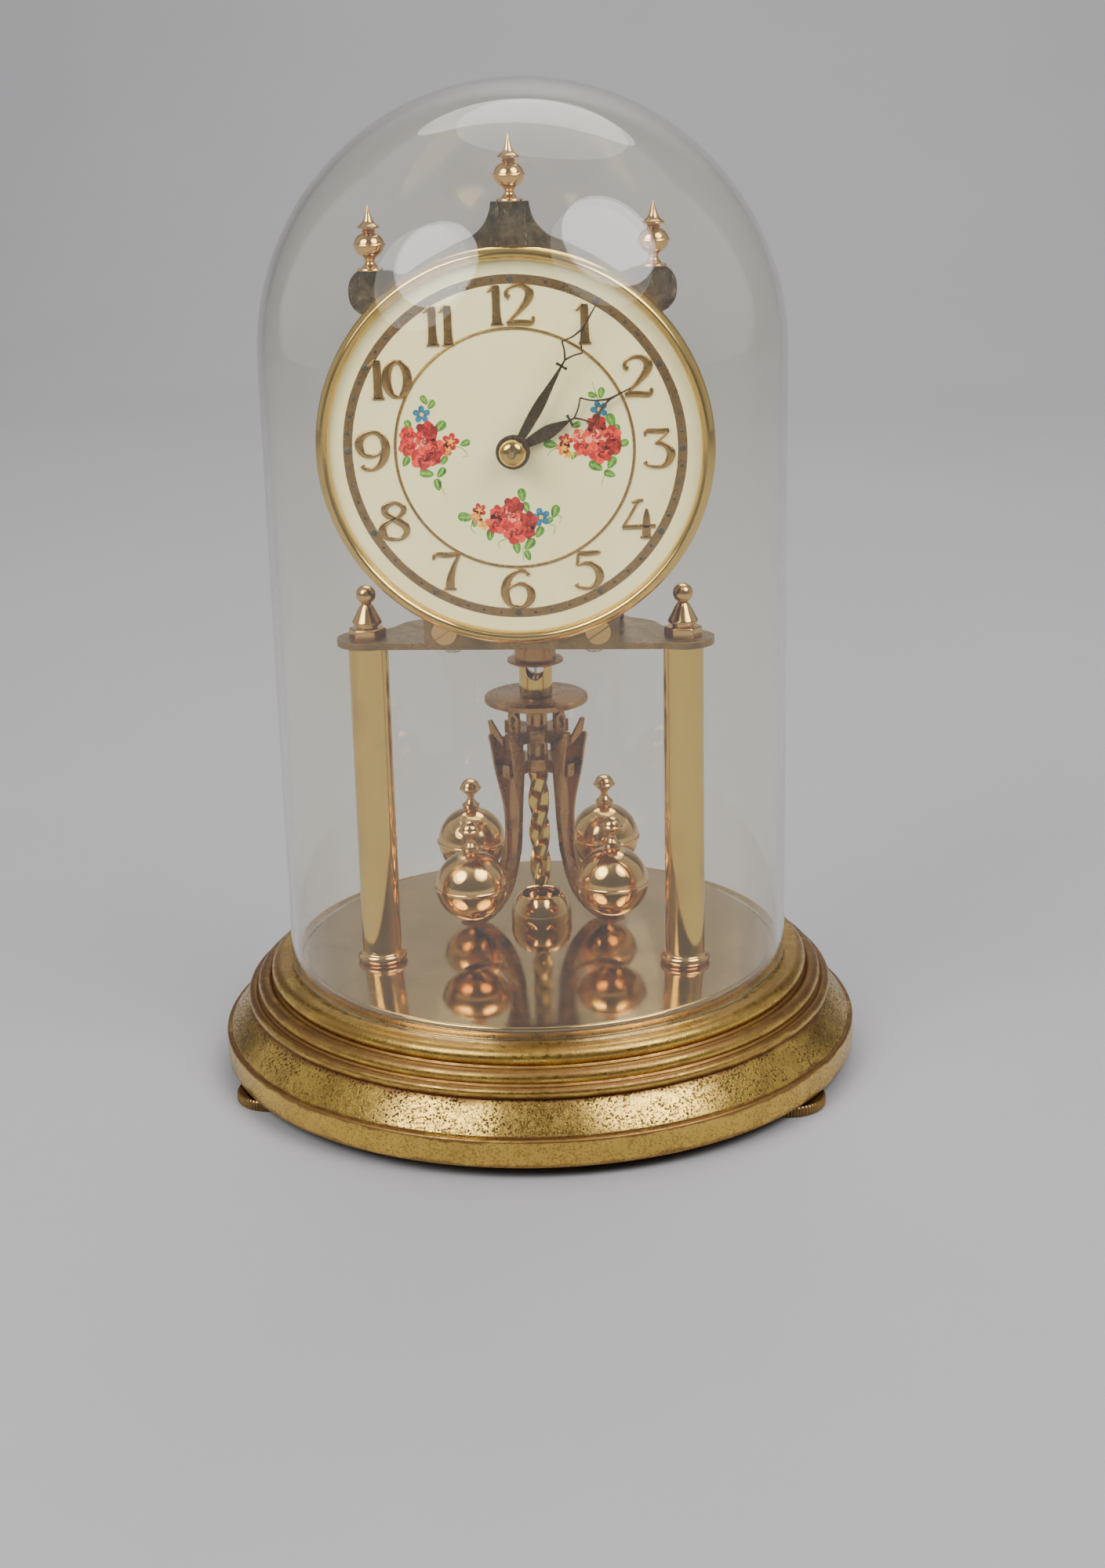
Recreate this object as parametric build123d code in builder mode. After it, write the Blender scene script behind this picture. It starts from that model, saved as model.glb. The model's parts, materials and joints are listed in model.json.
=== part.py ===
"""Anniversary (400-day) clock under a glass dome, built as the separate pieces of the real object.

Units are millimetres. +Z is up and the dial faces -Y. The origin is the centre of the round base
on the table: x = 0 is the dial's centre line and y = 0 is the axis of the base and of the dome.
Wheels of the movement turn about axes parallel to Y, the torsion pendulum about a vertical axis.
"""
from build123d import *
from math import asin, atan2, cos, degrees, hypot, radians, sin, sqrt
import os

os.makedirs("parts", exist_ok=True)

# ---------------------------------------------------------------- driving dimensions
# base
RIM_R = 97.2                # outer radius of the spun base
RIM_BOTTOM = 3.7            # lower edge of the rim above the table
RIM_BAND = 8.0              # height of the plain band at the rim
SHELL_WALL = 1.2
SEAT_Z = 32.2               # ledge that carries the dome and the base plate
PLATE_R = 71.4              # polished base plate
PLATE_TOP = 35.0
FOOT_R = 11.0
FOOT_H = 3.2
FEET = {"right": (330, 88.5), "left": (210, 88.5), "back": (90, 86.2)}     # angle, distance from the axis

# dome
DOME_R = 76.0
DOME_WALL = 2.0
DOME_BOTTOM = SEAT_Z
DOME_TOP = 291.0

# pillars and platform
PILLAR_X = 45.8
PILLAR_Y = -18.6
PILLAR_R = 5.85
COLLAR_R = 7.45
COLLAR_H = 3.5
PLATFORM_Z = 133.4          # underside of the platform
PLATFORM_T = 2.0
PLATFORM_TOP = PLATFORM_Z + PLATFORM_T
LOBE_R = 9.0

# pendulum, hanging on its own vertical axis behind the movement
PEND_Y = 15.0
PEND_TURN = 6.0             # how far the four arms stand round from the diagonals at rest, degrees
BALL_PITCH_R = 30.4
BALL_Z = 55.0
BALL_R = 10.9
HINGE_R = 12.4              # the arms' hinge pins, from the pendulum's axis
HINGE_Z = 87.2
SLIDER_Z = 96.6             # middle of the upper cross bracket
DISC_R = 15.9
DISC_Z = 106.8
DISC_T = 2.0
ROD_R = 3.2
ROD_TOP = 109.4
ARM_ANGLES = {"front_left": 225, "front_right": 315, "back_right": 45, "back_left": 135}

# movement: plates, dial centre
FRONT_FACE = -28.0          # front of the front plate
MOVEMENT_T = 1.5            # thickness of both plates
BACK_PLATE_Y = 0.0          # front of the back plate
PLATE_HALF_W = 28.0
MOVEMENT_TOP = 212.0
DIAL_Z = 192.4
DIAL_FACE = -34.3
DIAL_R = 52.6
BEZEL_R = 55.2
CROWN_Z = 258.8             # top of the crown's centre block
CROWN_SIDE_X = 38.6
CROWN_SIDE_Z = 241.0
MINUTE_ANGLE = 30.7         # hands at five past two, degrees clockwise from twelve
HOUR_ANGLE = 62.5

RUN = 0.05                  # radial clearance of every running fit

# gear train: teeth and modules
BARREL_T, BARREL_M = 108, 0.38
LEAF_10, LEAF_8 = 10, 8
WHEEL_T, WHEEL_M = 96, 0.25
CANNON_T, MINUTE_T, MINUTE_M = 12, 36, 0.30
LEAF_12, HOUR_T, HOUR_M = 12, 48, 0.24
ESCAPE_T, ESCAPE_R = 20, 9.0
PIVOT_R = 0.5
ARBOR_R = 0.55


def meet(a, ra, b, rb, side):
    """Point at distance ra from a and rb from b; side +1 or -1 picks which of the two."""
    dx, dz = b[0] - a[0], b[1] - a[1]
    d = hypot(dx, dz)
    along = (ra * ra - rb * rb + d * d) / (2 * d)
    off = side * sqrt(ra * ra - along * along)
    return a[0] + (along * dx - off * dz) / d, a[1] + (along * dz + off * dx) / d


# axes of the train in the X-Z plane
CENTRE = (0.0, DIAL_Z)
BARREL = (-6.0, 159.5)
REACH_1 = (BARREL_T + LEAF_10) * BARREL_M / 2       # barrel to second arbor
REACH = (WHEEL_T + LEAF_8) * WHEEL_M / 2            # every fine wheel to its pinion
SECOND = (BARREL[0] + REACH_1 * cos(radians(40.6)), BARREL[1] + REACH_1 * sin(radians(40.6)))
THIRD = meet(SECOND, REACH, CENTRE, REACH, -1)
ANCHOR = (0.0, DIAL_Z + 13.8)
ESCAPE = meet(CENTRE, REACH, ANCHOR, 12.3, 1)
CLICK = (BARREL[0] + 10.6, BARREL[1] + 5.2)
MINUTE_REACH = (CANNON_T + MINUTE_T) * MINUTE_M / 2
MINUTE_AXIS = (-MINUTE_REACH * sin(radians(35)), DIAL_Z - MINUTE_REACH * cos(radians(35)))


def facing(y):
    """Sketch plane parallel to the dial at depth y; +Z of the plane runs forward, towards -Y."""
    return Plane.XZ.offset(-y)


def mesh_phase(a, na, phase_a, b, nb):
    """Tooth angle that puts gear b in mesh with gear a, whose tooth stands at phase_a."""
    line = degrees(atan2(b[1] - a[1], b[0] - a[0]))
    pitch = 360 / na
    ahead = (phase_a - line + pitch / 2) % pitch - pitch / 2
    return line + 180 - ahead * na / nb + 180 / nb


def gear_face(centre, teeth, module, phase, tall=1.0, deep=1.25, width=0.42):
    """Add a toothed disc to the current sketch: straight-flanked teeth with backlash."""
    pitch_r = teeth * module / 2
    root, tip = pitch_r - deep * module, pitch_r + tall * module
    half_root, half_tip = width * 180 / teeth * 1.25, width * 180 / teeth * 0.55
    points = []
    for i in range(teeth):
        mid = phase + i * 360 / teeth
        for r, a in ((root, -half_root), (tip, -half_tip), (tip, half_tip), (root, half_root)):
            turn = radians(mid + a)
            points.append((centre[0] + r * cos(turn), centre[1] + r * sin(turn)))
    with BuildLine() as outline:
        Polyline(*points, close=True)
    make_face(outline.edges())


def round_at(centre, radius, mode=Mode.ADD):
    """A circle at a point of the current sketch."""
    with Locations(centre):
        Circle(radius, mode=mode)


def crossings(centre, inner, outer, spokes, width, phase=0.0):
    """Cut the windows between a wheel's spokes."""
    step = 360 / spokes
    for i in range(spokes):
        start, end = phase + i * step, phase + (i + 1) * step
        half = [degrees(asin(width / 2 / r)) for r in (inner, outer)]
        corners = []
        for r, a in ((inner, start + half[0]), (outer, start + half[1]),
                     (outer, end - half[1]), (inner, end - half[0])):
            corners.append((centre[0] + r * cos(radians(a)), centre[1] + r * sin(radians(a))))
        mid = radians((start + end) / 2)
        bulge_out = (centre[0] + outer * cos(mid), centre[1] + outer * sin(mid))
        bulge_in = (centre[0] + inner * cos(mid), centre[1] + inner * sin(mid))
        with BuildLine() as window:
            Line(corners[0], corners[1])
            ThreePointArc(corners[1], bulge_out, corners[2])
            Line(corners[2], corners[3])
            ThreePointArc(corners[3], bulge_in, corners[0])
        make_face(window.edges(), mode=Mode.SUBTRACT)


def arbor(centre, spans):
    """Coaxial cylinders along Y: spans are (y nearest the dial, y nearest the back, radius)."""
    for y0, y1, radius in spans:
        with BuildSketch(facing(y1)) as disc:
            round_at(centre, radius)
        extrude(disc.sketch, amount=y1 - y0)


def finish(block, label):
    """Name a finished piece and write its STEP file."""
    block.part.label = label
    export_step(block.part, f"parts/{label}.step")


# ---------------------------------------------------------------- base
NUT_Z = 6.0                 # threaded lugs of the levelling feet, brazed inside the rim
NUT_H = 4.0
STUD_R = 2.4
foot_spots = {side: (r * cos(radians(a)), r * sin(radians(a))) for side, (a, r) in FEET.items()}

with BuildPart() as base_shell:
    with BuildSketch(Plane.XZ):
        with BuildLine():
            band_top = RIM_BOTTOM + RIM_BAND
            outline = Polyline((0, SEAT_Z), (79.0, SEAT_Z), (80.4, SEAT_Z - 0.6))
            upper = ThreePointArc(outline @ 1, (83.0, 29.6), (82.0, 27.6))
            Line(upper @ 1, (82.8, 27.1))
            middle = ThreePointArc((82.8, 27.1), (86.3, 26.9), (86.6, 24.2))
            Line(middle @ 1, (87.3, 23.7))
            lower = ThreePointArc((87.3, 23.7), (89.9, 22.6), (88.4, 20.6))
            ogee = Spline(lower @ 1, (91.6, 17.4), (94.4, 14.2), (95.7, band_top + 0.7),
                          tangents=((0.75, -0.66), (0.2, -1)))
            edge = ThreePointArc(ogee @ 1, (96.8, band_top + 0.5), (RIM_R, band_top - 0.6))
            Line(edge @ 1, (RIM_R, RIM_BOTTOM + 0.6))
            curl = ThreePointArc((RIM_R, RIM_BOTTOM + 0.6), (RIM_R - 0.4, RIM_BOTTOM),
                                 (RIM_R - SHELL_WALL, RIM_BOTTOM))
            Polyline(curl @ 1, (RIM_R - SHELL_WALL, band_top - 0.8), (92.4, 14.6), (87.0, 20.0),
                     (85.2, 23.2), (81.2, 26.0), (78.6, SEAT_Z - SHELL_WALL), (0, SEAT_Z - SHELL_WALL),
                     (0, SEAT_Z))
        make_face()
    revolve(axis=Axis.Z)
    with BuildSketch(Plane.XY.offset(SEAT_Z - SHELL_WALL)):
        with Locations((PILLAR_X, PILLAR_Y), (-PILLAR_X, PILLAR_Y)):
            Circle(2.1)
        with Locations((0, PEND_Y)):
            Circle(1.6)
    extrude(amount=SHELL_WALL, mode=Mode.SUBTRACT)
    with BuildSketch(Plane.XY.offset(NUT_Z)):
        for side, spot in foot_spots.items():
            with Locations(Location(spot, FEET[side][0])):
                Rectangle(22, 14)
        Circle(RIM_R - SHELL_WALL / 2, mode=Mode.INTERSECT)
        with Locations(*foot_spots.values()):
            Circle(STUD_R + RUN, mode=Mode.SUBTRACT)
    extrude(amount=NUT_H)
finish(base_shell, "base_shell")

with BuildPart() as base_plate:
    with BuildSketch(Plane.XZ):
        with BuildLine():
            Polyline((0, PLATE_TOP), (PLATE_R - 0.8, PLATE_TOP))
            ThreePointArc((PLATE_R - 0.8, PLATE_TOP), (PLATE_R - 0.23, PLATE_TOP - 0.23),
                          (PLATE_R, PLATE_TOP - 0.8))
            Polyline((PLATE_R, PLATE_TOP - 0.8), (PLATE_R, SEAT_Z), (PLATE_R - 6, SEAT_Z),
                     (PLATE_R - 6, SEAT_Z + 0.8), (62, SEAT_Z + 0.8), (62, SEAT_Z), (0, SEAT_Z),
                     (0, PLATE_TOP))
        make_face()
    revolve(axis=Axis.Z)
    with BuildSketch(Plane.XY.offset(SEAT_Z)):
        with Locations((PILLAR_X, PILLAR_Y), (-PILLAR_X, PILLAR_Y)):
            Circle(2.1)
        with Locations((0, PEND_Y)):
            Circle(1.6)
    extrude(amount=PLATE_TOP - SEAT_Z, mode=Mode.SUBTRACT)
finish(base_plate, "base_plate")

for side, spot in foot_spots.items():
    with BuildPart() as levelling_foot:
        with BuildSketch(Plane.XY):
            with Locations(spot):
                Circle(FOOT_R)
                with PolarLocations(FOOT_R + 0.1, 60):
                    Circle(0.32, mode=Mode.SUBTRACT)
        extrude(amount=FOOT_H)
        with BuildSketch(Plane.XY.offset(FOOT_H)):
            with Locations(spot):
                Circle(STUD_R)
        extrude(amount=11.0)
    finish(levelling_foot, f"levelling_foot_{side}")

# ---------------------------------------------------------------- glass dome
with BuildPart() as glass_dome:
    inner_r = DOME_R - DOME_WALL
    crown_centre = DOME_TOP - DOME_R
    slope = sin(radians(45))
    with BuildSketch(Plane.XZ):
        with BuildLine():
            Line((inner_r, DOME_BOTTOM), (DOME_R, DOME_BOTTOM))
            Line((DOME_R, DOME_BOTTOM), (DOME_R, crown_centre))
            ThreePointArc((DOME_R, crown_centre), (DOME_R * slope, crown_centre + DOME_R * slope),
                          (0, DOME_TOP))
            Line((0, DOME_TOP), (0, DOME_TOP - DOME_WALL))
            ThreePointArc((0, DOME_TOP - DOME_WALL), (inner_r * slope, crown_centre + inner_r * slope),
                          (inner_r, crown_centre))
            Line((inner_r, crown_centre), (inner_r, DOME_BOTTOM))
        make_face()
    revolve(axis=Axis.Z)
finish(glass_dome, "glass_dome")

# ---------------------------------------------------------------- guide cup under the pendulum
CUP_R = 9.6
CUP_WALL = 0.8
CUP_MOUTH = 6.3
cup_centre = PLATE_TOP + 2.2
with BuildPart() as guide_cup:
    with BuildSketch(Plane(origin=(0, PEND_Y, 0), x_dir=(1, 0, 0), z_dir=(0, -1, 0))):
        with Locations((0, cup_centre)):
            Circle(CUP_R)
            Circle(CUP_R - CUP_WALL, mode=Mode.SUBTRACT)
        with Locations((0, PLATE_TOP - 10)):
            Rectangle(40, 20, mode=Mode.SUBTRACT)
        mouth_z = cup_centre + sqrt(CUP_R ** 2 - CUP_MOUTH ** 2)
        with Locations((0, mouth_z + 10)):
            Rectangle(40, 20, mode=Mode.SUBTRACT)
        with Locations((-20, cup_centre)):
            Rectangle(40, 60, mode=Mode.SUBTRACT)
        with Locations((4.5, PLATE_TOP + 0.4)):
            Rectangle(9, 0.8)
    revolve(axis=Axis((0, PEND_Y, 0), (0, 0, 1)))
    with BuildSketch(Plane.XY.offset(SEAT_Z - SHELL_WALL)):
        with Locations((0, PEND_Y)):
            Circle(1.5)
    extrude(amount=PLATE_TOP - SEAT_Z + SHELL_WALL)
    with BuildSketch(Plane.XY.offset(SEAT_Z - SHELL_WALL - 0.8)):
        with Locations((0, PEND_Y)):
            Circle(3.0)
    extrude(amount=0.8)
finish(guide_cup, "guide_cup")

# ---------------------------------------------------------------- pillars
pillar_spots = [(-PILLAR_X, PILLAR_Y), (PILLAR_X, PILLAR_Y)]
collar_top = PLATE_TOP + COLLAR_H
ROD = 2.0                   # radius of the long bolts inside the pillars
HEX_H = 3.0
FINIAL_BASE = PLATFORM_TOP + HEX_H


def upright(centre):
    """Vertical sketch plane through a vertical axis at this point; its x is the radius."""
    return Plane(origin=(centre[0], centre[1], 0), x_dir=(1, 0, 0), z_dir=(0, -1, 0))


with BuildPart() as pillar_tubes:
    with BuildSketch(Plane.XY.offset(collar_top)):
        with Locations(*pillar_spots):
            Circle(PILLAR_R)
            Circle(PILLAR_R - 0.8, mode=Mode.SUBTRACT)
    extrude(amount=PLATFORM_Z - collar_top)
finish(pillar_tubes, "pillar_tubes")

with BuildPart() as pillar_collars:
    for spot in pillar_spots:
        with BuildSketch(upright(spot)):
            with BuildLine():
                Polyline((2.1, collar_top), (2.1, PLATE_TOP), (COLLAR_R - 0.9, PLATE_TOP))
                ThreePointArc((COLLAR_R - 0.9, PLATE_TOP), (COLLAR_R, PLATE_TOP + 1.5),
                              (COLLAR_R - 0.8, collar_top - 0.7))
                ThreePointArc((COLLAR_R - 0.8, collar_top - 0.7), (COLLAR_R - 1.2, collar_top - 0.15),
                              (COLLAR_R - 1.5, collar_top))
                Line((COLLAR_R - 1.5, collar_top), (2.1, collar_top))
            make_face()
        revolve(axis=Axis((spot[0], spot[1], 0), (0, 0, 1)))
finish(pillar_collars, "pillar_collars")

with BuildPart() as pillar_bolts:
    bolt_seat = SEAT_Z - SHELL_WALL
    with BuildSketch(Plane.XY.offset(bolt_seat)):
        with Locations(*pillar_spots):
            Circle(ROD)
    extrude(amount=FINIAL_BASE + 5.0 - bolt_seat)
    with BuildSketch(Plane.XY.offset(bolt_seat - 3.2)):
        with Locations(*pillar_spots):
            RegularPolygon(4.6, 6)
    extrude(amount=3.2)
finish(pillar_bolts, "pillar_bolts")

with BuildPart() as pillar_hex_nuts:
    with BuildSketch(Plane.XY.offset(PLATFORM_TOP)):
        with Locations(*pillar_spots):
            RegularPolygon(5.5, 6)
    extrude(amount=HEX_H)
    chamfer(pillar_hex_nuts.faces().filter_by(Axis.Z).group_by(Axis.Z)[-1].edges(), 0.35)
    with BuildSketch(Plane.XY.offset(PLATFORM_TOP)):
        with Locations(*pillar_spots):
            Circle(ROD + RUN)
    extrude(amount=HEX_H, mode=Mode.SUBTRACT)
finish(pillar_hex_nuts, "pillar_hex_nuts")

with BuildPart() as pillar_finials:
    z0 = FINIAL_BASE
    bore = ROD + RUN
    for spot in pillar_spots:
        with BuildSketch(upright(spot)):
            with BuildLine():
                ball_start = z0 + 9.6 - sqrt(2.9 ** 2 - 1.35 ** 2)
                Polyline((bore, z0), (3.1, z0), (3.1, z0 + 0.9), (4.3, z0 + 1.2), (4.3, z0 + 2.1),
                         (1.35, ball_start))
                ThreePointArc((1.35, ball_start), (2.9, z0 + 9.6), (0, z0 + 12.5))
                Polyline((0, z0 + 12.5), (0, z0 + 5.0), (bore, z0 + 5.0), (bore, z0))
            make_face()
        revolve(axis=Axis((spot[0], spot[1], 0), (0, 0, 1)))
finish(pillar_finials, "pillar_finials")

# ---------------------------------------------------------------- platform
BUSH_R = 6.35
FLANGE_R = 8.65
FLANGE_Z = 119.4
FLANGE_T = 0.9
SPRING_HOLE_R = 3.2
PLATFORM_FRONT = -26.6
PLATFORM_BACK = 25.0
SHOULDER_X = 31.0
platform_screw_spots = [(-20.5, -22.5), (20.5, -22.5), (-20.5, -2.0), (20.5, -2.0)]

with BuildPart() as platform:
    with BuildSketch(Plane.XY.offset(PLATFORM_Z)):
        with Locations(*pillar_spots):
            Circle(LOBE_R)
        with Locations((0, (PLATFORM_FRONT - 11.0) / 2)):
            Rectangle(2 * PILLAR_X, -11.0 - PLATFORM_FRONT)
        for s in (-1, 1):
            with BuildLine():
                Line((0, PLATFORM_BACK), (s * 12, PLATFORM_BACK))
                ThreePointArc((s * 12, PLATFORM_BACK), (s * 17, 22.5), (s * 20, 16))
                Line((s * 20, 16), (s * SHOULDER_X, 4.0))
                ThreePointArc((s * SHOULDER_X, 4.0), (s * 35.5, 1.5), (s * 38.5, -3.0))
                ThreePointArc((s * 38.5, -3.0), (s * 41.0, -7.6), (s * PILLAR_X, PILLAR_Y + LOBE_R))
                Polyline((s * PILLAR_X, PILLAR_Y + LOBE_R), (s * PILLAR_X, PILLAR_Y), (0, PILLAR_Y),
                         (0, PLATFORM_BACK))
            make_face()
    extrude(amount=PLATFORM_T)
    with BuildSketch(Plane.XY.offset(PLATFORM_Z)):
        with Locations(*pillar_spots):
            Circle(2.1)
        with Locations((0, PEND_Y)):
            Circle(SPRING_HOLE_R)
        with Locations(*platform_screw_spots):
            Circle(1.3)
    extrude(amount=PLATFORM_T, mode=Mode.SUBTRACT)
finish(platform, "platform")

with BuildPart() as guard_bush:
    with BuildSketch(Plane.XY.offset(FLANGE_Z)):
        with Locations((0, PEND_Y)):
            Circle(FLANGE_R)
            Circle(SPRING_HOLE_R, mode=Mode.SUBTRACT)
    extrude(amount=FLANGE_T)
    fillet(guard_bush.edges().filter_by(GeomType.CIRCLE).group_by(SortBy.RADIUS)[-1], 0.4)
    with BuildSketch(Plane.XY.offset(FLANGE_Z + FLANGE_T)):
        with Locations((0, PEND_Y)):
            Circle(BUSH_R)
            Circle(SPRING_HOLE_R, mode=Mode.SUBTRACT)
    extrude(amount=PLATFORM_Z - FLANGE_Z - FLANGE_T)
finish(guard_bush, "guard_bush")

# ---------------------------------------------------------------- movement frame
POST_R = 2.5
BEAM_Y = FRONT_FACE + MOVEMENT_T            # back of the front plate
FOOT_BAR_X = 22.0                           # square bars between the plates, standing on the platform
FOOT_BAR_W = 6.0
FOOT_BAR_H = 6.6
POST_X, POST_Z = 23.0, 206.5                # round posts between the plates' upper corners
post_spots = [(-POST_X, POST_Z), (POST_X, POST_Z)]
face_screw_spots = [(-FOOT_BAR_X, 139.2), (FOOT_BAR_X, 139.2)]
BRACKET_X = 9.0                             # screws of the suspension bracket's two legs
front_holes = [(CENTRE, 0.85 + RUN), (BARREL, 2.0 + RUN), (SECOND, PIVOT_R + RUN), (THIRD, PIVOT_R + RUN),
               (ESCAPE, PIVOT_R + RUN), (ANCHOR, PIVOT_R + RUN)]
back_holes = [(CENTRE, PIVOT_R + RUN), (BARREL, 2.4 + RUN), (SECOND, PIVOT_R + RUN),
              (THIRD, PIVOT_R + RUN), (ESCAPE, PIVOT_R + RUN), (ANCHOR, 1.6), (CLICK, 1.0), ((0, 198.9), 0.9),
              ((-BRACKET_X, 203.5), 0.9), ((BRACKET_X, 203.5), 0.9)]
SCREW_R = 1.2


def movement_plate(front_y, holes):
    """One movement plate: flat sheet standing on the platform, bored for its pivots and posts."""
    with BuildSketch(facing(front_y + MOVEMENT_T)) as sheet:
        with Locations((0, (PLATFORM_TOP + MOVEMENT_TOP) / 2)):
            RectangleRounded(2 * PLATE_HALF_W, MOVEMENT_TOP - PLATFORM_TOP, 0.8)
        for centre, radius in holes:
            round_at(centre, radius, Mode.SUBTRACT)
        for spot in post_spots + face_screw_spots:
            round_at(spot, SCREW_R, Mode.SUBTRACT)
    extrude(sheet.sketch, amount=MOVEMENT_T)


with BuildPart() as front_plate:
    movement_plate(FRONT_FACE, front_holes)
    arbor(MINUTE_AXIS, [(-33.0, FRONT_FACE + 0.5, 0.6)])     # fixed post of the minute wheel
finish(front_plate, "front_plate")

with BuildPart() as back_plate:
    movement_plate(BACK_PLATE_Y, back_holes)
finish(back_plate, "back_plate")


with BuildPart() as plate_posts:
    for x in (-FOOT_BAR_X, FOOT_BAR_X):
        with BuildSketch(facing(BACK_PLATE_Y)):
            with Locations((x, PLATFORM_TOP + FOOT_BAR_H / 2)):
                Rectangle(FOOT_BAR_W, FOOT_BAR_H)
        extrude(amount=BACK_PLATE_Y - BEAM_Y)
    for spot in post_spots:
        with BuildSketch(facing(BACK_PLATE_Y)):
            round_at(spot, POST_R)
        extrude(amount=BACK_PLATE_Y - BEAM_Y)
    for y1, amount in ((BACK_PLATE_Y, 6.0), (BEAM_Y, -6.0)):
        with BuildSketch(facing(y1)):
            for spot in post_spots + face_screw_spots:
                round_at(spot, SCREW_R)
        extrude(amount=amount, mode=Mode.SUBTRACT)
    with BuildSketch(Plane.XY.offset(PLATFORM_TOP)):
        with Locations(*platform_screw_spots):
            Circle(1.3)
    extrude(amount=2.4, mode=Mode.SUBTRACT)
finish(plate_posts, "plate_posts")


def slotted_screw(spot, seat_y, toward, head_r, head_h):
    """Screw along Y: head on the outside of a plate, shank towards the inside."""
    with BuildSketch(facing(seat_y)) as head:
        round_at(spot, head_r)
    extrude(head.sketch, amount=toward * head_h)
    with BuildSketch(facing(seat_y - toward * head_h)) as slot:
        with Locations(Location((spot[0], spot[1]), 35.0)):
            Rectangle(2 * head_r + 1, 0.9)
    extrude(slot.sketch, amount=-toward * 0.9, mode=Mode.SUBTRACT)
    with BuildSketch(facing(seat_y)) as shank:
        round_at(spot, SCREW_R - 0.03)
    extrude(shank.sketch, amount=-toward * 6.5)


back_face = BACK_PLATE_Y + MOVEMENT_T
CROWN_T = 1.5
with BuildPart() as plate_screws:
    for spot in face_screw_spots:
        slotted_screw(spot, FRONT_FACE, 1, 3.6, 1.6)
    for spot in post_spots:
        slotted_screw(spot, FRONT_FACE - CROWN_T, 1, 2.6, 1.3)
    for spot in face_screw_spots + post_spots:
        slotted_screw(spot, back_face, -1, 2.6, 1.3)
finish(plate_screws, "plate_screws")

with BuildPart() as platform_screws:
    with BuildSketch(Plane.XY.offset(PLATFORM_Z - 1.3)):
        with Locations(*platform_screw_spots):
            Circle(2.7)
    extrude(amount=1.3)
    with BuildSketch(Plane.XY.offset(PLATFORM_Z)):
        with Locations(*platform_screw_spots):
            Circle(1.25)
    extrude(amount=PLATFORM_T + 2.2)
    chamfer(platform_screws.faces().filter_by(Axis.Z).group_by(Axis.Z)[0].edges(), 0.5)
finish(platform_screws, "platform_screws")

# ---------------------------------------------------------------- dial, bezel, crown
DIAL_T = 0.8
DIAL_HOLE_R = 2.6
dial_axis = Axis((0, 0, DIAL_Z), (0, 1, 0))
dial_plane = Plane(origin=(0, 0, DIAL_Z), x_dir=(1, 0, 0), z_dir=(0, 0, 1))

with BuildPart() as dial:
    with BuildSketch(facing(DIAL_FACE + DIAL_T)):
        round_at(CENTRE, DIAL_R)
        round_at(CENTRE, DIAL_HOLE_R, Mode.SUBTRACT)
    extrude(amount=DIAL_T)
    for x in (-20.0, 20.0):
        arbor((x, DIAL_Z), [(DIAL_FACE + DIAL_T, FRONT_FACE, 1.0)])
finish(dial, "dial")

with BuildPart() as bezel:
    with BuildSketch(dial_plane):
        with BuildLine():
            Line((DIAL_R + 0.1, -31.4), (DIAL_R + 0.1, DIAL_FACE))
            Polyline((DIAL_R + 0.1, DIAL_FACE), (51.4, DIAL_FACE), (51.9, -36.2))
            ThreePointArc((51.9, -36.2), (52.7, -37.2), (53.6, -36.8))
            ThreePointArc((53.6, -36.8), (54.9, -35.2), (BEZEL_R, -33.2))
            Polyline((BEZEL_R, -33.2), (54.7, -31.4), (DIAL_R + 0.1, -31.4))
        make_face()
    revolve(axis=dial_axis)
finish(bezel, "bezel")

with BuildPart() as crown_plate:
    with BuildSketch(facing(FRONT_FACE)):
        for s in (-1, 1):
            with BuildLine():
                Line((0, CROWN_Z), (s * 5.2, CROWN_Z))
                ThreePointArc((s * 5.2, CROWN_Z), (s * 7.3, 252.8), (s * 11.5, 249.3))
                ThreePointArc((s * 11.5, 249.3), (s * 19.0, 246.0), (s * 27.0, 241.4))
                ThreePointArc((s * 27.0, 241.4), (s * 30.0, 239.9), (s * 33.0, CROWN_SIDE_Z))
                Line((s * 33.0, CROWN_SIDE_Z), (s * 42.0, CROWN_SIDE_Z))
                ThreePointArc((s * 42.0, CROWN_SIDE_Z), (s * 44.3, 238.4), (s * 44.9, 235.2))
                ThreePointArc((s * 44.9, 235.2), (s * 44.4, 232.2), (s * 42.6, 229.8))
                Polyline((s * 42.6, 229.8), (s * 36.0, 226.0), (s * 26.0, 213.0), (s * 26.0, 202.5),
                         (0, 202.5), (0, CROWN_Z))
            make_face()
        for x in (-POST_X, POST_X):
            round_at((x, POST_Z), SCREW_R, Mode.SUBTRACT)
        round_at(ANCHOR, 1.2, Mode.SUBTRACT)
    extrude(amount=CROWN_T)
finish(crown_plate, "crown_plate")

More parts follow.
